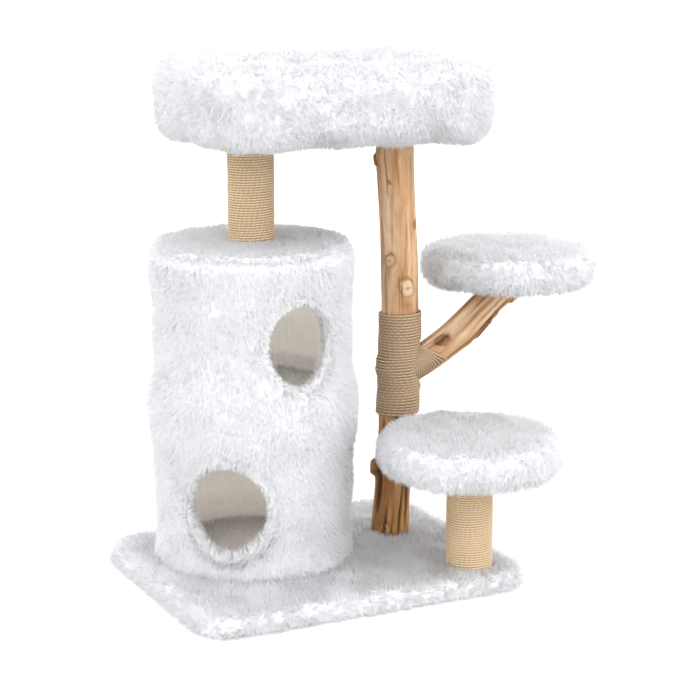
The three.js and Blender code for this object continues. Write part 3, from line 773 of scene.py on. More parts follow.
def doorway(node):
    """A doorway from its edging: its direction, its middle height, and half its clear width and height."""
    points = node_points(node)
    flat = points[:, :2] - house_axis()
    towards = flat.mean(axis=0)
    towards /= np.linalg.norm(towards)
    across = np.array([-towards[1], towards[0]])
    sideways = flat @ across
    binding = 0.007
    return {
        "towards": towards,
        "across": across,
        "height": (points[:, 2].max() + points[:, 2].min()) / 2,
        "wide": (sideways.max() - sideways.min()) / 2 - binding,
        "tall": (points[:, 2].max() - points[:, 2].min()) / 2 - binding,
    }


def clear_of_door(door, extra):
    """A test that is true for places that aren't in a doorway grown by extra."""

    def test(places):
        flat = places[:, :2] - house_axis()
        sideways = (flat @ door["across"]) / (door["wide"] + extra)
        rise = (places[:, 2] - door["height"]) / (door["tall"] + extra)
        return (sideways**2 + rise**2 > 1) | (flat @ door["towards"] < 0)

    return test


def clear_of_round(centre, radius):
    def test(places):
        return np.linalg.norm(places[:, :2] - np.array(centre)[:2], axis=1) > radius

    return test


def all_of(*tests):
    return lambda places: np.logical_and.reduce([test(places) for test in tests])


# ---- Operators ----------------------------------------------------------------------------------------------------


class CATTREE_OT_stage(bpy.types.Operator):
    """Make the floor, the soft light and the camera"""

    bl_idname = "cattree.stage"
    bl_label = "Stage"

    def execute(self, context):
        stage = context.scene.cat_tree_stage
        size = 60.0
        corners = np.array([(-size, -size, 0), (size, -size, 0), (size, size, 0), (-size, size, 0)], float)
        floor = mesh_of("floor", corners - [0, 0, FABRIC_LIFT], np.array([[0, 1, 2, 3]]))
        pale = [0.985 * c for c in stage.floor]
        floor.data.materials.append(mottled("Pale floor", stage.floor, pale, 1.5, 0.9, 0.0002))
        self.sun(context, "key light", -18.0, 30.0, 0.85, 60.0)
        self.sun(context, "right light", 50.0, 35.0, 0.55, 60.0)
        self.sun(context, "left light", -80.0, 35.0, 0.38, 60.0)
        self.sun(context, "top light", 0.0, 80.0, 0.15, 60.0)
        self.room_light(context, "lower room light", 0.17, 0.22, (1.0, 0.93, 0.88))
        self.room_light(context, "upper room light", 0.46, 0.27, (1.0, 0.99, 0.97))
        self.sky(context, stage)
        self.camera(context, stage)
        return {"FINISHED"}

    def sun(self, context, name, azimuth, height, strength, softness):
        """A lamp so far away that its light is even, as wide as softness in degrees."""
        data = bpy.data.lights.new(name, "SUN")
        data.energy = strength
        data.angle = math.radians(softness)
        lamp = bpy.data.objects.new(name, data)
        context.scene.collection.objects.link(lamp)
        a, e = math.radians(azimuth), math.radians(height)
        back = Vector((math.sin(a) * math.cos(e), -math.cos(a) * math.cos(e), math.sin(e)))
        lamp.location = back * 3
        lamp.rotation_euler = (-back).to_track_quat("-Z", "Y").to_euler()

    def room_light(self, context, name, height, power, tint):
        """A weak lamp inside a room, as bright as the light that reaches it through the cloth."""
        data = bpy.data.lights.new(name, "POINT")
        data.shadow_soft_size = 0.05
        data.energy = power
        data.color = tint
        lamp = bpy.data.objects.new(name, data)
        context.scene.collection.objects.link(lamp)
        lamp.location = (*house_axis(), height)

    def sky(self, context, stage):
        world = bpy.data.worlds.new("Studio")
        world.use_nodes = True
        back = world.node_tree.nodes["Background"]
        back.inputs["Color"].default_value = (0.985, 0.99, 1.0, 1.0)
        way = add(world.node_tree, "ShaderNodeTexCoord").outputs["Generated"]
        rise = add(world.node_tree, "ShaderNodeSeparateXYZ", {0: way}).outputs[2]
        overhead = maths(world.node_tree, "MULTIPLY", maths(world.node_tree, "MAXIMUM", rise, 0.0), 0.72)
        strength = maths(world.node_tree, "SUBTRACT", stage.sky, overhead)
        world.node_tree.links.new(strength, back.inputs["Strength"])
        context.scene.world = world
        context.scene.view_settings.view_transform = "Standard"

    def camera(self, context, stage):
        aim = Vector((0.011, -0.124, 0.423))
        data = bpy.data.cameras.new("camera")
        data.lens = stage.lens
        data.sensor_width = 36.0
        camera = bpy.data.objects.new("camera", data)
        context.scene.collection.objects.link(camera)
        a, e = stage.azimuth, stage.height
        back = Vector((math.sin(a) * math.cos(e), -math.cos(a) * math.cos(e), math.sin(e)))
        camera.location = aim + back * stage.distance
        camera.rotation_euler = (-back).to_track_quat("-Z", "Y").to_euler()
        context.scene.camera = camera


class CATTREE_OT_frame(bpy.types.Operator):
    """Give the boards, walls, tubes, foam, cloths and fasteners of the frame their materials"""

    bl_idname = "cattree.frame"
    bl_label = "Boards and fasteners"

    def execute(self, context):
        finishes = {
            "chipboard": mottled("Chipboard", (0.60, 0.44, 0.25), (0.34, 0.22, 0.11), 160.0, 0.85, 0.0006),
            "hardboard": mottled("Hardboard", (0.40, 0.27, 0.15), (0.27, 0.17, 0.08), 70.0, 0.6, 0.0002),
            "card_tube": mottled("Wound card", (0.47, 0.31, 0.16), (0.36, 0.23, 0.11), 40.0, 0.85, 0.0002),
            "softwood_plug": mottled("Turned softwood", (0.72, 0.52, 0.28), (0.55, 0.36, 0.17), 50.0, 0.6, 0.0003),
            "foam": mottled("Foam", (0.82, 0.77, 0.60), (0.62, 0.56, 0.40), 300.0, 0.95, 0.0008),
            "plain_cloth": mottled("Underside cloth", (0.72, 0.71, 0.68), (0.58, 0.57, 0.54), 220.0, 0.9, 0.0003),
            "zinc_fastener": mottled("Zinc plate", (0.66, 0.68, 0.70), (0.48, 0.50, 0.53), 200.0, 0.35, 0.0001, 1.0),
        }
        for part in frame["record"]["subparts"]:
            node, slot = part["node"], part["material_slot"]
            if slot in finishes:
                data = frame["nodes"][node].data
                data.materials.clear()
                data.materials.append(finishes[slot])
        return {"FINISHED"}


class CATTREE_OT_base(bpy.types.Operator):
    """Cover the base board in plush"""

    bl_idname = "cattree.base"
    bl_label = "Base cover"

    def execute(self, context):
        plush = context.scene.cat_tree_plush
        low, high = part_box("base_plush")
        size = high - low
        depth = plush.pile * ROOT_SHARE
        top = high.z - depth * 0.4
        round_edge = 0.018
        profile = [(HEM_WIDTH - 0.010 * i, FABRIC_LIFT) for i in range(4)]
        profile += [(depth + 0.003, FABRIC_LIFT), (depth, 0.004)]
        for i in range(6):
            angle = math.pi / 2 * i / 5
            inset = depth + round_edge * (1 - math.cos(angle))
            profile.append((inset, top - round_edge * (1 - math.sin(angle))))
        inset = profile[-1][0]
        while inset < size.y / 2 - 0.008:
            inset += 0.0075
            profile.append((inset, top))
        skin = loft("base_cover", (size.x, size.y, BASE_CORNER), (low + high) / 2, profile, 0.0075)
        _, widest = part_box("house_lower_wall")
        house = clear_of_round(house_axis(), widest.x - house_axis()[0] - 0.008)
        post = clear_of_round(middle_of("perch_post_rope"), size_of("perch_post_rope").x / 2)
        foot = node_points("trunk")
        foot = foot[foot[:, 2] < foot[:, 2].min() + 0.002]
        trunk = clear_of_round(foot.mean(axis=0), 0.0375)
        keep_faces(skin, all_of(house, post, trunk))
        ruffle(skin, 0.0007, 0.045, 3)

        def shows(places):
            return (places[:, 2] > 0.006) & house(places) & post(places) & trunk(places)

        strands = plush_piece(skin, "base_pile", ["base_plush"], 11, fall=0.25, length=1.15, lean=(0.3, 1.0), test=shows)
        return {"FINISHED"}


class CATTREE_OT_house(bpy.types.Operator):
    """Cover the round house, bind its doors and line its rooms"""

    bl_idname = "cattree.house"
    bl_label = "Cat house"

    def execute(self, context):
        self.doors = {floor: doorway(f"house_{floor}_door_edging") for floor in ("lower", "upper")}
        self.sleeve(context)
        self.roof(context)
        for floor in self.doors:
            self.binding(context, floor)
            self.lining(context, floor)
        self.floor_pad(context, "house_floor_plush", 41, 1.75)
        self.floor_pad(context, "house_middle_plush", 43, 1.1)
        return {"FINISHED"}

    def sleeve(self, context):
        plush = context.scene.cat_tree_plush
        depth = plush.pile * ROOT_SHARE
        low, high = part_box("house_plush_sleeve")
        heights, radii = smooth_side("house_plush_sleeve", low.z, high.z, HOUSE_ROWS)
        widest = radii.max()
        radii = radii + 0.004 * np.exp(-(heights - low.z) / 0.020)
        over = np.clip((heights - high.z + 0.012) / 0.012, 0, 1)
        radii -= 0.0062 * (1 - np.sqrt(1 - over**2))
        profile = [(widest - radius + depth, height) for height, radius in zip(heights, radii)]
        turned_in, top = profile[-1]
        profile += [(turned_in + 0.004, top + 0.0025), (turned_in + 0.010, top + 0.004)]
        shape = (2 * widest, 2 * widest, widest)
        skin = loft("house_sleeve", shape, (*house_axis(), 0), profile, 0.006, cap=False)
        clear = all_of(*(clear_of_door(door, 0.003) for door in self.doors.values()))
        keep_faces(skin, clear)
        for door in self.doors.values():
            self.trim(skin, door)
        ruffle(skin, 0.0012, 0.09, 5)
        finish_piece(skin, backing_material(), "white_plush", "house_plush_sleeve")
        grown = [
            finish_piece(strands, pile_material(), "white_plush", "house_plush_sleeve")
            for strands in grow_pile("house_pile", skin, 21, fall=0.9, test=self.parted, comb=self.brushed)
        ]

    def trim(self, skin, door):
        """Moves the ragged edge of a doorway in the sleeve onto the doorway's outline."""
        made = bmesh.new()
        made.from_mesh(skin.data)
        edge = [vertex for vertex in made.verts if vertex.is_boundary]
        places = np.array([vertex.co for vertex in edge])
        flat = places[:, :2] - house_axis()
        radius = np.linalg.norm(flat, axis=1)
        sideways = flat @ door["across"]
        rise = places[:, 2] - door["height"]
        out = np.hypot(sideways / (door["wide"] + 0.003), rise / (door["tall"] + 0.003))
        ours = (out > 0.8) & (out < 1.2) & (flat @ door["towards"] > 0)
        for k in np.nonzero(ours)[0]:
            side = sideways[k] / out[k]
            ahead = math.sqrt(radius[k] ** 2 - side**2)
            place = house_axis() + ahead * door["towards"] + side * door["across"]
            edge[k].co = (*place, door["height"] + rise[k] / out[k])
        made.to_mesh(skin.data)
        made.free()
        skin.data.update()

    def parted(self, places):
        """True where the sleeve has pile: outside the doors and off the seam below the roof."""
        clear = all_of(*(clear_of_door(door, 0.001) for door in self.doors.values()))(places)
        _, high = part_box("house_plush_sleeve")
        return clear & (np.abs(places[:, 2] - high.z + 0.010) > 0.0005)

    def brushed(self, places):
        """The sleeve's pile turns into the doors round their edges, and out over the base at its foot."""
        low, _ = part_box("house_plush_sleeve")
        out = np.zeros_like(places)
        out[:, :2] = places[:, :2] - house_axis()
        flow = unit(out) * (1.7 * np.exp(-(places[:, 2] - low.z) / 0.03))[:, None]
        for door in self.doors.values():
            sideways = (places[:, :2] - house_axis()) @ door["across"]
            rise = places[:, 2] - door["height"]
            away = np.hypot(sideways / door["wide"], rise / door["tall"]) - 1
            near = np.exp(-np.clip(away, 0, None) / 0.2) * ((out[:, :2] @ door["towards"]) > 0)
            inward = np.column_stack([-np.outer(sideways, door["across"]), -rise])
            flow += unit(inward) * (2.6 * near)[:, None]
        return flow

    def roof(self, context):
        plush = context.scene.cat_tree_plush
        depth = plush.pile * ROOT_SHARE
        low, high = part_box("house_roof_plush")
        radius = (high.x - low.x) / 2
        top = high.z - depth
        profile = [(depth + 0.008, low.z)]
        for i in range(5):
            angle = math.pi / 2 * i / 4
            profile.append((depth + 0.008 + 0.010 * (1 - math.cos(angle)), top - 0.005 * (1 - math.sin(angle))))
        inset = profile[-1][0]
        post = size_of("bed_post_rope").x / 2
        while inset < radius - post - 0.006:
            inset += 0.006
            profile.append((inset, top))
        shape = (2 * radius, 2 * radius, radius)
        skin = loft("house_roof_cover", shape, (low + high) / 2, profile, 0.006, cap=False)
        ruffle(skin, 0.0008, 0.05, 7)
        clear = clear_of_round(house_axis(), post + 0.002)

        def over_rim(places):
            out = np.zeros_like(places)
            out[:, :2] = places[:, :2] - house_axis()
            return out / radius * 1.6

        strands = plush_piece(
            skin, "house_roof_pile", ["house_roof_plush"], 31, fall=0.3, test=clear, comb=over_rim
        )

    def edge_of(self, door, depth, extra, count):
        """Places round a doorway, on a wall whose face lies depth below the plush, and their outward turns."""
        heights, radii = smooth_side("house_plush_sleeve", *(corner.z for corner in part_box("house_plush_sleeve")), 90)
        turn = np.linspace(0, 2 * math.pi, count, endpoint=False)
        sideways = (door["wide"] + extra) * np.cos(turn)
        rise = door["height"] + (door["tall"] + extra) * np.sin(turn)
        radius = np.interp(rise, heights, radii) - depth
        ahead = np.sqrt(radius**2 - sideways**2)
        flat = house_axis() + np.outer(ahead, door["towards"]) + np.outer(sideways, door["across"])
        return np.column_stack([flat, rise]), turn

    def binding(self, context, floor):
        """A soft roll of plush round a doorway."""
        door = self.doors[floor]
        count, sides = 150, 12
        plush = context.scene.cat_tree_plush
        face = plush.pile * ROOT_SHARE
        outer, turn = self.edge_of(door, face + 0.0012, 0.005, count)
        inner, _ = self.edge_of(door, 0.020, 0.005, count)
        middle = (outer + inner) / 2
        deep = unit(outer - inner)
        away = np.outer(np.cos(turn), [*door["across"], 0]) + np.outer(np.sin(turn), [0, 0, 1.0])
        half = np.linalg.norm(outer - inner, axis=1)[:, None] / 2 + 0.001
        rings = []
        for k in range(sides):
            angle = 2 * math.pi * k / sides
            rings.append(middle + deep * half * math.cos(angle) + away * 0.0050 * math.sin(angle))
        points = np.stack(rings, axis=1).reshape(-1, 3)
        i, k = np.meshgrid(np.arange(count), np.arange(sides), indexing="ij")
        here = i * sides
        there = (i + 1) % count * sides
        nxt = (k + 1) % sides
        faces = np.stack([here + k, there + k, there + nxt, here + nxt], axis=-1).reshape(-1, 4)
        skin = mesh_of(f"{floor}_door_binding", points, faces)
        face_outward(skin)
        node = f"house_{floor}_door_edging"
        strands = plush_piece(
            skin, f"{floor}_door_pile", [node], 51 if floor == "lower" else 52,
            fall=0.15, length=0.95 if floor == "lower" else 0.8, spacing=0.8, lean=(0.4, 1.1),
            comb=lambda places: self.fringe(door, places),
        )
        if floor == "lower":
            strands += self.lip(door, skin, node)
        area = cloth_area(skin) / 2

    def lip(self, door, skin, node):
        """Long pile that stands up along the bottom of a doorway."""
        low = door["height"] - 0.55 * door["tall"]
        rise = np.array([*(-0.5 * door["towards"]), 3.0])
        return [
            finish_piece(strands, pile_material(), "white_plush", node)
            for strands in grow_pile(
                "lower_door_lip_pile", skin, 57, fall=0.0, length=1.35, lean=(0.3, 0.9),
                test=lambda places: places[:, 2] < low, comb=lambda places: np.tile(rise, (len(places), 1)),
            )
        ]

    def fringe(self, door, places):
        """The pile of a door's binding leans out and over the opening."""
        sideways = (places[:, :2] - house_axis()) @ door["across"]
        rise = places[:, 2] - door["height"]
        inward = unit(np.column_stack([-np.outer(sideways, door["across"]), -rise]))
        return inward * 1.9 + np.array([*door["towards"], 0.0]) * 0.7

    def lining(self, context, floor):
        """Ribbed cloth inside a room."""
        node = f"house_{floor}_lining"
        low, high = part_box(node)
        heights = np.linspace(low.z, high.z, 26)
        radii = np.interp(heights, *side_outline(f"house_{floor}_wall"))
        ribs = 150
        around = ribs * 4
        turn = np.linspace(0, 2 * math.pi, around, endpoint=False)
        wave = 0.0004 * np.cos(turn * ribs)
        inside = 0.0062
        points = np.concatenate(
            [
                np.column_stack(
                    [
                        house_axis()[0] + (radius - inside + wave) * np.cos(turn),
                        house_axis()[1] + (radius - inside + wave) * np.sin(turn),
                        np.full(around, height),
                    ]
                )
                for height, radius in zip(heights, radii)
            ]
        )
        j = np.arange(around)
        following = (j + 1) % around
        rows = [
            np.stack([i * around + j, (i + 1) * around + j, (i + 1) * around + following, i * around + following], 1)
            for i in range(len(heights) - 1)
        ]
        skin = mesh_of(f"{floor}_room_lining", points, np.concatenate(rows))
        keep_faces(skin, clear_of_door(self.doors[floor], 0.005))
        cloth = mottled("Ribbed lining", (0.86, 0.845, 0.81), (0.81, 0.79, 0.75), 120.0, 0.9, 0.0003, sheen=0.1)
        finish_piece(skin, cloth, "ribbed_cloth", node)

    def floor_pad(self, context, node, seed, length):
        plush = context.scene.cat_tree_plush
        low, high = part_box(node)
        radius = (high.x - low.x) / 2
        top = high.z - plush.pile * ROOT_SHARE
        profile = [(0.002, low.z + FABRIC_LIFT), (0.002, top - 0.002), (0.004, top)]
        inset = 0.004
        while inset < radius - 0.012:
            inset += 0.008
            profile.append((inset, top))
        name = node.replace("plush", "pad")
        skin = loft(name, (2 * radius, 2 * radius, radius), (low + high) / 2, profile, 0.008)
        ruffle(skin, 0.0006, 0.04, seed)
        strands = plush_piece(skin, name + "_pile", [node], seed, fall=0.0, length=length, lean=(0.1, 0.7))
        if node == "house_floor_plush":
            door = self.doors["lower"]
            strands += [
                finish_piece(piece, pile_material(), "white_plush", node)
                for piece in grow_pile(
                    name + "_front_pile", skin, 47, fall=0.0, length=2.7, lean=(0.0, 0.5),
                    test=lambda places: (places[:, :2] - house_axis()) @ door["towards"] > 0.62 * radius,
                )
            ]


def cloth_area(piece):
    points, _, triangles = points_of(piece)
    a, b, c = (points[triangles[:, k]] for k in range(3))
    return float(np.linalg.norm(np.cross(b - a, c - a), axis=1).sum() / 2)


def face_outward(piece):
    made = bmesh.new()
    made.from_mesh(piece.data)
    bmesh.ops.recalc_face_normals(made, faces=made.faces)
    made.to_mesh(piece.data)
    made.free()
    piece.data.update()


class CATTREE_OT_perches(bpy.types.Operator):
    """Make the padded covers of the two round perches"""

    bl_idname = "cattree.perches"
    bl_label = "Perches"

    def execute(self, context):
        for name, seed in (("low_perch", 61), ("high_perch", 62)):
            self.perch(context, name, seed)
        return {"FINISHED"}

    def perch(self, context, name, seed):
        plush = context.scene.cat_tree_plush
        depth = plush.pile * ROOT_SHARE
        node = f"{name}_plush"
        low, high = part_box(node)
        radius = (high.x - low.x) / 2
        half = (high.z - low.z) / 2
        middle = (high.z + low.z) / 2
        turned = 0.018
        profile = [(radius - 0.105 - 0.008 * i, low.z + FABRIC_LIFT) for i in range(3)]
        for i in range(13):
            angle = -math.pi / 2 + math.pi * i / 12
            out = math.cos(angle) ** 0.75
            profile.append((turned * (1 - out) + depth, middle + (half - depth * 0.6) * math.sin(angle)))
        inset, top = profile[-1]
        while inset < radius - 0.012:
            inset += 0.007
            crown = 0.003 * math.sin(math.pi / 2 * min(1.0, inset / radius))
            profile.append((inset, top + crown))
        skin = loft(f"{name}_cover", (2 * radius, 2 * radius, radius), (low + high) / 2, profile, 0.007)
        ruffle(skin, 0.0012, 0.07, seed)

        def shows(places):
            flat = np.linalg.norm(places[:, :2] - np.array(((low + high) / 2)[:2]), axis=1)
            return (places[:, 2] > low.z + 0.004) | (flat > radius - 0.03)

        plush_piece(skin, f"{name}_pile", [node], seed, fall=0.45, length=1.12, test=shows)


class CATTREE_OT_bed(bpy.types.Operator):
    """Make the bed's padded rim, its under cover and its floor"""

    bl_idname = "cattree.bed"
    bl_label = "Bed"

    def execute(self, context):
        plush = context.scene.cat_tree_plush
        self.depth = plush.pile * ROOT_SHARE
        self.rim(context)
        self.flat_cover(context, "bed_under_plush", "bed_under_cover", 73, True)
        self.flat_cover(context, "bed_floor_plush", "bed_floor_cover", 74, False)
        return {"FINISHED"}

    def rim(self, context):
        low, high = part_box("bed_rim")
        size = high - low
        thick = (size.x - BED_NEST[0]) / 2
        half_thick = thick / 2 - self.depth
        half_high = size.z / 2 - self.depth
        steps = 44
        profile = []
        for i in range(steps):
            angle = -math.pi / 2 + 2 * math.pi * i / steps
            c, s = math.cos(angle), math.sin(angle)
            across = math.copysign(abs(c) ** 0.62, c) * half_thick
            rise = math.copysign(abs(s) ** 0.62, s) * half_high
            profile.append((thick / 2 - across, (low.z + high.z) / 2 + rise))
        skin = loft("bed_rim_cover", (size.x, size.y, BED_CORNER), (low + high) / 2, profile, 0.0085, closed=True)
        puff(skin, 4.0, 0.005, 9)
        ruffle(skin, 0.0022, 0.10, 9)
        finish_piece(skin, backing_material(), "white_plush", "bed_rim")
        for strands in grow_pile("bed_rim_pile", skin, 71, fall=0.55):
            finish_piece(strands, pile_material(), "white_plush", "bed_rim")

    def flat_cover(self, context, node, name, seed, under):
        """A flat plush sheet, under the bed's board or on it."""
        low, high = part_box(node)
        size = high - low
        height = high.z - FABRIC_LIFT if under else low.z + FABRIC_LIFT
        corner = 0.07 if under else BED_NEST[2]
        profile = [(0.001 + 0.0085 * i, height) for i in range(int((size.y / 2 - 0.004) / 0.0085))]
        skin = loft(name, (size.x, size.y, corner), (low + high) / 2, profile, 0.0085)
        tests = []
        if under:
            head = node_points("trunk")
            head = head[head[:, 2] > head[:, 2].max() - 0.002]
            tests = [
                clear_of_round(middle_of("bed_post_rope"), size_of("bed_post_rope").x / 2),
                clear_of_round(head.mean(axis=0), 0.036),
            ]
            keep_faces(skin, all_of(*tests))
            skin.data.flip_normals()
        test = all_of(*tests) if tests else None
        strands = plush_piece(
            skin, f"{name}_pile", [node], seed, fall=0.0, length=0.55, spacing=1.2, test=test
        )
        cloth_area(skin)


class CATTREE_OT_cushion(bpy.types.Operator):
    """Make the loose cushion that lies in the bed"""

    bl_idname = "cattree.cushion"
    bl_label = "Cushion"

    def execute(self, context):
        plush = context.scene.cat_tree_plush
        depth = plush.pile * 0.4
        low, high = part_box("bed_cushion")
        size = high - low
        half = size.z / 2 - depth * 0.5
        middle = (low.z + high.z) / 2 - depth * 0.25
        inset_most = size.y / 2 - 0.008
        profile = []
        edge = 0.020
        for side in (-1, 1):
            rows = 14
            for i in range(rows):
                t = i / (rows - 1)
                share = 1 - t if side < 0 else t
                inset = depth + edge * (1 - math.cos(math.pi / 2 * min(1, share * 3)))
                inset += max(0, share - 1 / 3) * 1.5 * (inset_most - depth - edge)
                height = middle + side * half * math.sin(math.pi / 2 * min(1, share * 2.2)) ** 0.8
                profile.append((inset, height))
        skin = loft("bed_cushion_cover", (size.x, size.y, CUSHION_CORNER), (low + high) / 2, profile, 0.0075)
        close_ends(skin)
        puff(skin, 3.0, 0.004, 13)
        ruffle(skin, 0.001, 0.06, 13)
        plush_piece(skin, "bed_cushion_pile", ["bed_cushion"], 81, body=CUSHION, fall=0.15, length=0.7)
        return {"FINISHED"}


def close_ends(piece):
    """Fills the open ends of a skin."""
    made = bmesh.new()
    made.from_mesh(piece.data)
    bmesh.ops.holes_fill(made, edges=[edge for edge in made.edges if edge.is_boundary])
    bmesh.ops.recalc_face_normals(made, faces=made.faces)
    made.to_mesh(piece.data)
    made.free()
    piece.data.shade_smooth()


# ---- Rope --------------------------------------------------------------------------------------------------------------


def rope_tube(path, outward, up, thick, squash, sides=10):
    """The tube of one rope along a path, lobed by its three strands: points, faces, along and around."""
    count = len(path)
    length = np.concatenate([[0], np.cumsum(np.linalg.norm(np.diff(path, axis=0), axis=1))])
    turn = np.linspace(0, 2 * math.pi, sides, endpoint=False)
    twist = length[:, None] / thick * STRAND_LAY * 2 * math.pi
    lobes = 1 + 0.07 * np.cos(3 * turn[None, :] + twist)
    radius = thick / 2 * lobes
    points = (
        path[:, None]
        + outward[:, None] * (radius * np.cos(turn))[..., None]
        + up[:, None] * (radius * np.sin(turn) * squash)[..., None]
    ).reshape(-1, 3)
    i, k = np.meshgrid(np.arange(count - 1), np.arange(sides), indexing="ij")
    nxt = (k + 1) % sides
    here, there = i * sides, (i + 1) * sides
    faces = np.stack([here + k, here + nxt, there + nxt, there + k], axis=-1).reshape(-1, 4)
    along = np.repeat(length / thick, sides)
    around = np.tile(turn / (2 * math.pi), count)
    return points, faces, along, around


def tube_ends(points, sides):
    """Faces that close the two ends of a tube, as fans of quads from its first point."""
    last = len(points) - sides
    ring = np.arange(0, sides - 2, 2)
    first = np.stack([np.zeros_like(ring), ring + 3 - 1, ring + 2 - 1 + 0, ring + 1 - 0], axis=1)
    return first, first + last


def wound_post(name, node, thick, seed):
    """Rope wound tight round a straight post."""
    low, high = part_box(node)
    middle = (low + high) / 2
    radius = (high.x - low.x) / 2 - thick / 2
    turns = int((high.z - low.z) / thick)
    per_turn = 54
    steps = turns * per_turn
    t = np.arange(steps + 1) / per_turn
    angle = 2 * math.pi * t
    place = np.column_stack([np.cos(angle), np.sin(angle), t / 5])
    uneven = wobble(place, 1.4, seed) * 0.05 * thick
    pitch = (high.z - low.z - thick) / turns
    rise = low.z + thick / 2 + pitch * t + wobble(place, 2.2, seed + 1) * 0.05 * thick
    outward = np.column_stack([np.cos(angle), np.sin(angle), np.zeros_like(angle)])
    path = outward * (radius + uneven)[:, None] + np.array([middle.x, middle.y, 0])
    path[:, 2] = rise
    up = np.tile([0.0, 0.0, 1.0], (len(path), 1))
    points, faces, along, around = rope_tube(path, outward, up, thick * 1.04, 0.98, sides=8)
    piece = mesh_of(name, points, faces, {"along": along, "around": around})
    face_outward(piece)
    return piece


class CATTREE_OT_posts(bpy.types.Operator):
    """Wind sisal round the two posts"""

    bl_idname = "cattree.posts"
    bl_label = "Sisal posts"

    def execute(self, context):
        rope = context.scene.cat_tree_rope
        material = rope_material("Sisal", rope.sisal_colour)
        for name, seed in (("bed_post", 91), ("perch_post", 93)):
            piece = wound_post(f"{name}_sisal", f"{name}_rope", rope.sisal, seed)
            finish_piece(piece, material, "sisal_rope", f"{name}_rope")
            fuzz = stray_fibres(f"{name}_fibres", piece, 1600, 0.006, seed)
            finish_piece(fuzz, material, "sisal_rope", f"{name}_rope")
        return {"FINISHED"}


def stray_fibres(name, rope, count, length, seed):
    """Fine fibres that stand off a rope."""
    rng = np.random.default_rng(seed)
    points, normals, triangles = points_of(rope)
    chosen = rng.choice(len(points), count)
    root, outward = points[chosen], normals[chosen]
    aim = unit(outward + rng.normal(size=(count, 3)) * 0.9)
    reach = length * rng.uniform(0.3, 1.0, size=(count, 1))
    middle = root + aim * reach * 0.5 + rng.normal(size=(count, 3)) * 0.0004
    tip = root + aim * reach + rng.normal(size=(count, 3)) * 0.0010
    across = unit(np.cross(aim, outward) + 1e-6) * 0.00011
    made = np.stack([root - across, root + across, middle - across, middle + across, tip], axis=1)
    k = np.arange(count) * 5
    faces = np.concatenate(
        [np.stack([k, k + 1, k + 3], 1), np.stack([k, k + 3, k + 2], 1), np.stack([k + 2, k + 3, k + 4], 1)]
    )
    blank = np.zeros(count * 5)
    return mesh_of(name, made.reshape(-1, 3), faces, {"along": blank, "around": blank})


# ---- Wood ------------------------------------------------------------------------------------------------------------------


def log_surface(node, voxel):
    """A smooth, even mesh of a CAD log."""
    source = frame["nodes"][node]
    piece = bpy.data.objects.new(node + "_wood", source.data.copy())
    bpy.context.scene.collection.objects.link(piece)
    weld(piece)
    remesh = piece.modifiers.new("Remesh", "REMESH")
    remesh.mode = "VOXEL"
    remesh.voxel_size = voxel
    remesh.adaptivity = 0
    smooth = piece.modifiers.new("Smooth", "SMOOTH")
    smooth.factor = 0.7
    smooth.iterations = 14
    graph = bpy.context.evaluated_depsgraph_get()
    made = bpy.data.meshes.new_from_object(piece.evaluated_get(graph))
    piece.modifiers.clear()
    piece.data = made
    made.shade_smooth()
    return piece


def centre_line(points, along, bins=40):
    """The middle of a log at places along it, as a function of the distance along."""
    edges = np.linspace(along.min(), along.max(), bins + 1)
    which = np.clip(np.digitize(along, edges) - 1, 0, bins - 1)
    filled = [k for k in range(bins) if (which == k).any()]
    at = ((edges[:-1] + edges[1:]) / 2)[filled]
    middles = np.array([points[which == k].mean(axis=0) for k in filled])
    return lambda s: np.column_stack([np.interp(s, at, middles[:, k]) for k in range(3)])


# Knots: height, bearing from the front towards the right, size, how far they stand out, and whether sawn off.
TRUNK_KNOTS = [
    (0.537, -62, 0.0085, 0.0014, 0.4),
    (0.489, -4, 0.0120, 0.0024, 1.0),
    (0.712, -112, 0.0080, 0.0026, 0.0),
    (0.155, -108, 0.0115, 0.0080, 0.0),
    (0.048, -46, 0.0080, 0.0030, 0.35),
    (0.640, 130, 0.0100, 0.0018, 0.6),
    (0.560, 200, 0.0120, 0.0020, 0.9),
    (0.120, 150, 0.0120, 0.0025, 0.3),
    (0.676, -52, 0.0025, 0.0003, 0.0),
    (0.600, 40, 0.0060, 0.0010, 0.0),
]
BRANCH_KNOTS = [
    (0.085, -42, 0.0085, -0.0024, 0.0),
    (0.190, 60, 0.0100, 0.0016, 0.5),
    (0.165, 88, 0.0180, 0.0035, 0.0),
    (0.250, 82, 0.0150, 0.0055, 0.4),
]

# Strips where bark has stained the wood: bearing, half width in degrees, strength.
BARK_STRIPS = [(-110, 14, 0.85), (58, 11, 0.6), (160, 18, 0.6)]


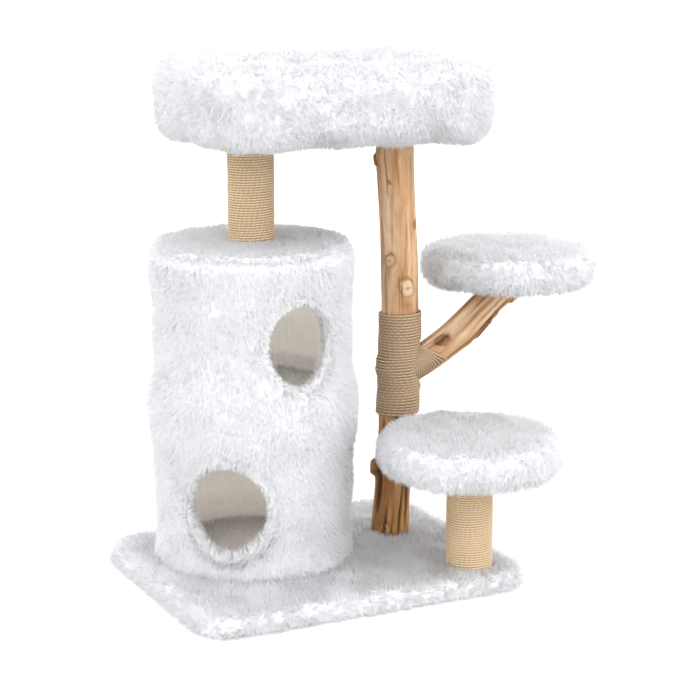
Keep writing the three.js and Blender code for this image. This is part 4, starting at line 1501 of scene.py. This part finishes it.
def shape_log(piece, axis, knots, groove, seed):
    """Carves a log: long waves, grooves that deepen where groove says, and knots. Keeps its marks."""
    points, normals, _ = points_of(piece)
    axis = np.array(axis) / np.linalg.norm(axis)
    along = points @ axis
    out = points - centre_line(points, along)(along)
    front = np.array([0.0, -1.0, 0.0])
    bearing = np.arctan2(out @ np.cross(front, axis) * -1, out @ front)
    radius = np.linalg.norm(out, axis=1)
    up = along - along.min()
    place = np.column_stack([np.cos(bearing), np.sin(bearing), up * 6.0])
    move = wobble(place, 2.2, seed) * 0.0009
    marks, rust, sawn = np.zeros((3, len(points)))
    depth = groove(up)
    fine = np.column_stack([np.cos(bearing) * 3, np.sin(bearing) * 3, up * 5.0])
    furrow = np.clip(wobble(fine, 1.1, seed + 3) - 0.50, 0, 1.0)
    move -= furrow * 0.0050 * depth
    rust += np.clip(furrow * 1.8 * depth, 0, 0.9)
    marks += np.clip((furrow - 0.22) * 1.6 * depth, 0, 0.85)
    cracks = np.column_stack([np.cos(bearing) * 7, np.sin(bearing) * 7, up * 7.0])
    crack = np.clip(wobble(cracks, 1.2, seed + 7) - 1.35, 0, 0.6) / 0.6
    move -= crack * 0.0010
    marks += crack * 0.45
    bark = np.column_stack([np.cos(bearing), np.sin(bearing), up * 9.0])
    rust += np.clip(wobble(bark, 1.1, seed + 11) - 0.8, 0, 1) * 0.55
    for turn, width, strength in BARK_STRIPS:
        around = (bearing - math.radians(turn) + math.pi) % (2 * math.pi) - math.pi
        strip = np.exp(-((around / math.radians(width)) ** 2))
        patch = np.clip(0.55 + 0.45 * wobble(bark, 0.9, seed + 13), 0, 1)
        rust += strength * strip * patch
        marks += 0.3 * strength * strip * patch**2
    for height, turn, size, stand, cut in knots:
        around = (bearing - math.radians(turn) + math.pi) % (2 * math.pi) - math.pi
        x, z = around * radius / size, (up - height) / size * 0.85
        turn_of = np.arctan2(z, x)
        bulge = 0.09 * np.sin(2 * turn_of + seed * height * 40) + 0.07 * np.sin(4 * turn_of) + 0.04 * np.sin(7 * turn_of)
        far = np.hypot(x, z) * (1 + bulge)
        disc = 1 / (1 + np.exp((far - 1) * 12))
        move += stand * (disc * 0.7 + 0.6 * np.exp(-((far - 0.4) ** 2)))
        move -= 0.0012 * np.exp(-(((far - 1.25) / 0.25) ** 2))
        sawn = np.maximum(sawn, disc * cut)
        ring = np.exp(-(((far - 1.2) / 0.28) ** 2))
        upper = 0.55 + 0.45 * np.sin(turn_of)
        rust += ring * upper * (0.35 + 0.6 * cut) + 0.45 * disc * (0.5 + 0.5 * np.cos(far * 24))
        rays = np.clip(np.cos(2 * turn_of + 2.0 * far + seed), 0, 1) ** 14
        marks += disc * rays * np.exp(-far * 1.4) * 0.8 + 0.7 * np.exp(-((far / 0.18) ** 2))
        marks += 0.4 * ring * (1 - cut)
        if stand < 0:
            marks += 0.9 * np.exp(-((x / 0.5) ** 2) - (z / 1.5) ** 4)
        below = np.exp(-((x / 0.8) ** 2)) * np.exp(-np.abs(z + 2.2) / 1.6) * (far > 1)
        rust += below * 0.9 * cut
        rust += (1 - cut) * np.exp(-(far**2) * 0.5) * 0.6
    points += normals * move[:, None]
    piece.data.vertices.foreach_set("co", points.astype(np.float32).ravel())
    piece.data.update()
    for name, mask in (("marks", marks), ("rust", rust), ("sawn", sawn)):
        layer = piece.data.attributes.new(name, "FLOAT", "POINT")
        layer.data.foreach_set("value", np.clip(mask, 0, 0.95).astype(np.float32))


class CATTREE_OT_wood(bpy.types.Operator):
    """Carve the natural trunk and branch"""

    bl_idname = "cattree.wood"
    bl_label = "Trunk and branch"

    def execute(self, context):
        wood = context.scene.cat_tree_wood
        trunk = log_surface("trunk", wood.grain)
        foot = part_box("trunk")[0].z
        knots = [(height - foot, *rest) for height, *rest in TRUNK_KNOTS]
        shape_log(trunk, (0, 0, 1), knots, lambda s: np.clip((0.27 - s) / 0.05, 0.10, 1.0), 5)
        finish_piece(trunk, wood_material("Trunk wood", 0.0, wood.pale), "bare_wood", "trunk")
        branch = log_surface("branch", wood.grain)
        tilt = math.radians(52)
        axis = (math.sin(tilt), 0.0, math.cos(tilt))
        shape_log(branch, axis, BRANCH_KNOTS, lambda s: np.full(len(s), 0.35), 25)
        finish_piece(branch, wood_material("Branch wood", tilt, wood.branch), "bare_wood", "branch")
        return {"FINISHED"}


class CATTREE_OT_wraps(bpy.types.Operator):
    """Wind jute round the trunk and the branch's root"""

    bl_idname = "cattree.wraps"
    bl_label = "Jute wraps"

    def execute(self, context):
        rope = context.scene.cat_tree_rope
        material = rope_material("Jute", rope.jute_colour)
        wrap = self.trunk_wrap(rope.jute)
        finish_piece(wrap, material, "jute_rope", "trunk_rope")
        fuzz = stray_fibres("trunk_jute_fibres", wrap, 1800, 0.007, 97)
        finish_piece(fuzz, material, "jute_rope", "trunk_rope")
        root = self.branch_wrap(rope.jute)
        finish_piece(root, material, "jute_rope", "branch_rope")
        return {"FINISHED"}

    def trunk_wrap(self, thick):
        """Follows the trunk's own surface, turn by turn."""
        low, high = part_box("trunk_rope")
        data = frame["nodes"]["trunk"].data
        tree = BVHTree.FromPolygons([v.co for v in data.vertices], [tuple(p.vertices) for p in data.polygons])
        bark = node_points("trunk")
        middle = centre_line(bark, bark[:, 2], bins=30)
        turns = int((high.z - low.z) / thick)
        per_turn = 64
        t = np.arange(turns * per_turn + 1) / per_turn
        angle = 2 * math.pi * t
        pitch = (high.z - low.z - thick) / turns
        rise = low.z + thick / 2 + pitch * t
        outward = np.column_stack([np.cos(angle), np.sin(angle), np.zeros_like(angle)])
        centres = middle(rise)
        centres[:, 2] = rise
        reach = np.full(len(t), 0.0335)
        for i, (centre, way) in enumerate(zip(centres, outward)):
            hit = tree.ray_cast(Vector(centre + way * 0.12), Vector(-way), 0.12)[0]
            if hit:
                reach[i] = (Vector(centre) - hit).length
        reach = np.clip(reach, 0.028, 0.040)
        window = np.hanning(25)
        reach = np.convolve(np.pad(reach, 12, mode="edge"), window / window.sum(), mode="valid")
        place = np.column_stack([np.cos(angle), np.sin(angle), t / 4])
        reach += wobble(place, 1.8, 33) * 0.07 * thick + 0.0030
        path = centres + outward * reach[:, None]
        path[:, 2] += wobble(place, 2.6, 35) * 0.08 * thick
        up = np.tile([0.0, 0.0, 1.0], (len(path), 1))
        points, faces, along, around = rope_tube(path, outward, up, 0.0058, thick / 0.0058 * 1.0, sides=12)
        piece = mesh_of("trunk_jute", points, faces, {"along": along, "around": around})
        face_outward(piece)
        return piece

    def branch_wrap(self, thick):
        """Turns round the branch's root that meet in the crotch above it and fan out below."""
        low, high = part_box("branch_rope")
        middle = middle_of("branch_rope")
        lean = math.radians(33)
        u = np.array([math.cos(lean), 0.0, math.sin(lean)])
        v = np.array([-math.sin(lean), 0.0, math.cos(lean)])
        y = np.array([0.0, 1.0, 0.0])
        root = np.array([low.x + 0.012, middle.y, 0.352])
        radius = 0.0305 + thick / 2
        crotch = root + v * radius + u * 0.004
        parts, shift = [], 0
        count = 14
        for i in range(count):
            tilt = math.radians(-97 + 74 * i / (count - 1))
            way = np.array([math.cos(tilt), 0.0, math.sin(tilt)])
            normal = np.array([-way[2], 0.0, way[0]])
            phi = np.linspace(0, 2 * math.pi, 73)
            ring = v * np.cos(phi)[:, None] + y * np.sin(phi)[:, None]
            start = root + ring * radius
            s = -((start - crotch) @ normal) / (u @ normal)
            path = start + u * s[:, None]
            path += ring * (0.0003 * i)
            tangent = unit(np.gradient(path, axis=0))
            up = unit(np.cross(tangent, ring))
            points, faces, along, around = rope_tube(path, ring, up, thick, 1.0, sides=10)
            parts.append((points, faces + shift, along + 40 * i, around))
            shift += len(points)
        points, faces, along, around = (np.concatenate([part[k] for part in parts]) for k in range(4))
        piece = mesh_of("branch_jute", points, faces, {"along": along, "around": around})
        face_outward(piece)
        return piece


# ---- The panel and the run --------------------------------------------------------------------------------------------------


class CATTREE_PT_panel(bpy.types.Panel):
    """Lists the steps and the settings"""

    bl_idname = "CATTREE_PT_panel"
    bl_label = "Cat Tree"
    bl_space_type = "VIEW_3D"
    bl_region_type = "UI"
    bl_category = "Cat Tree"

    def draw(self, context):
        column = self.layout.column()
        for step in STEPS:
            column.operator(step.bl_idname)
        for group in SETTINGS:
            box = self.layout.box()
            box.label(text=group.__doc__)
            for key in group.__annotations__:
                box.prop(getattr(context.scene, SETTINGS[group]), key)


SETTINGS = {
    PlushSettings: "cat_tree_plush",
    RopeSettings: "cat_tree_rope",
    WoodSettings: "cat_tree_wood",
    StageSettings: "cat_tree_stage",
}
STEPS = [
    CATTREE_OT_stage,
    CATTREE_OT_frame,
    CATTREE_OT_wood,
    CATTREE_OT_wraps,
    CATTREE_OT_posts,
    CATTREE_OT_base,
    CATTREE_OT_house,
    CATTREE_OT_perches,
    CATTREE_OT_bed,
    CATTREE_OT_cushion,
]


def register():
    for group, key in SETTINGS.items():
        bpy.utils.register_class(group)
        setattr(bpy.types.Scene, key, PointerProperty(type=group))
    for part in [*STEPS, CATTREE_PT_panel]:
        bpy.utils.register_class(part)


def unregister():
    for part in [CATTREE_PT_panel, *reversed(STEPS)]:
        bpy.utils.unregister_class(part)
    for group, key in reversed(list(SETTINGS.items())):
        delattr(bpy.types.Scene, key)
        bpy.utils.unregister_class(group)


def main():
    register()
    for step in STEPS:
        family, name = step.bl_idname.split(".")
        getattr(getattr(bpy.ops, family), name)()


if __name__ == "__main__":
    main()
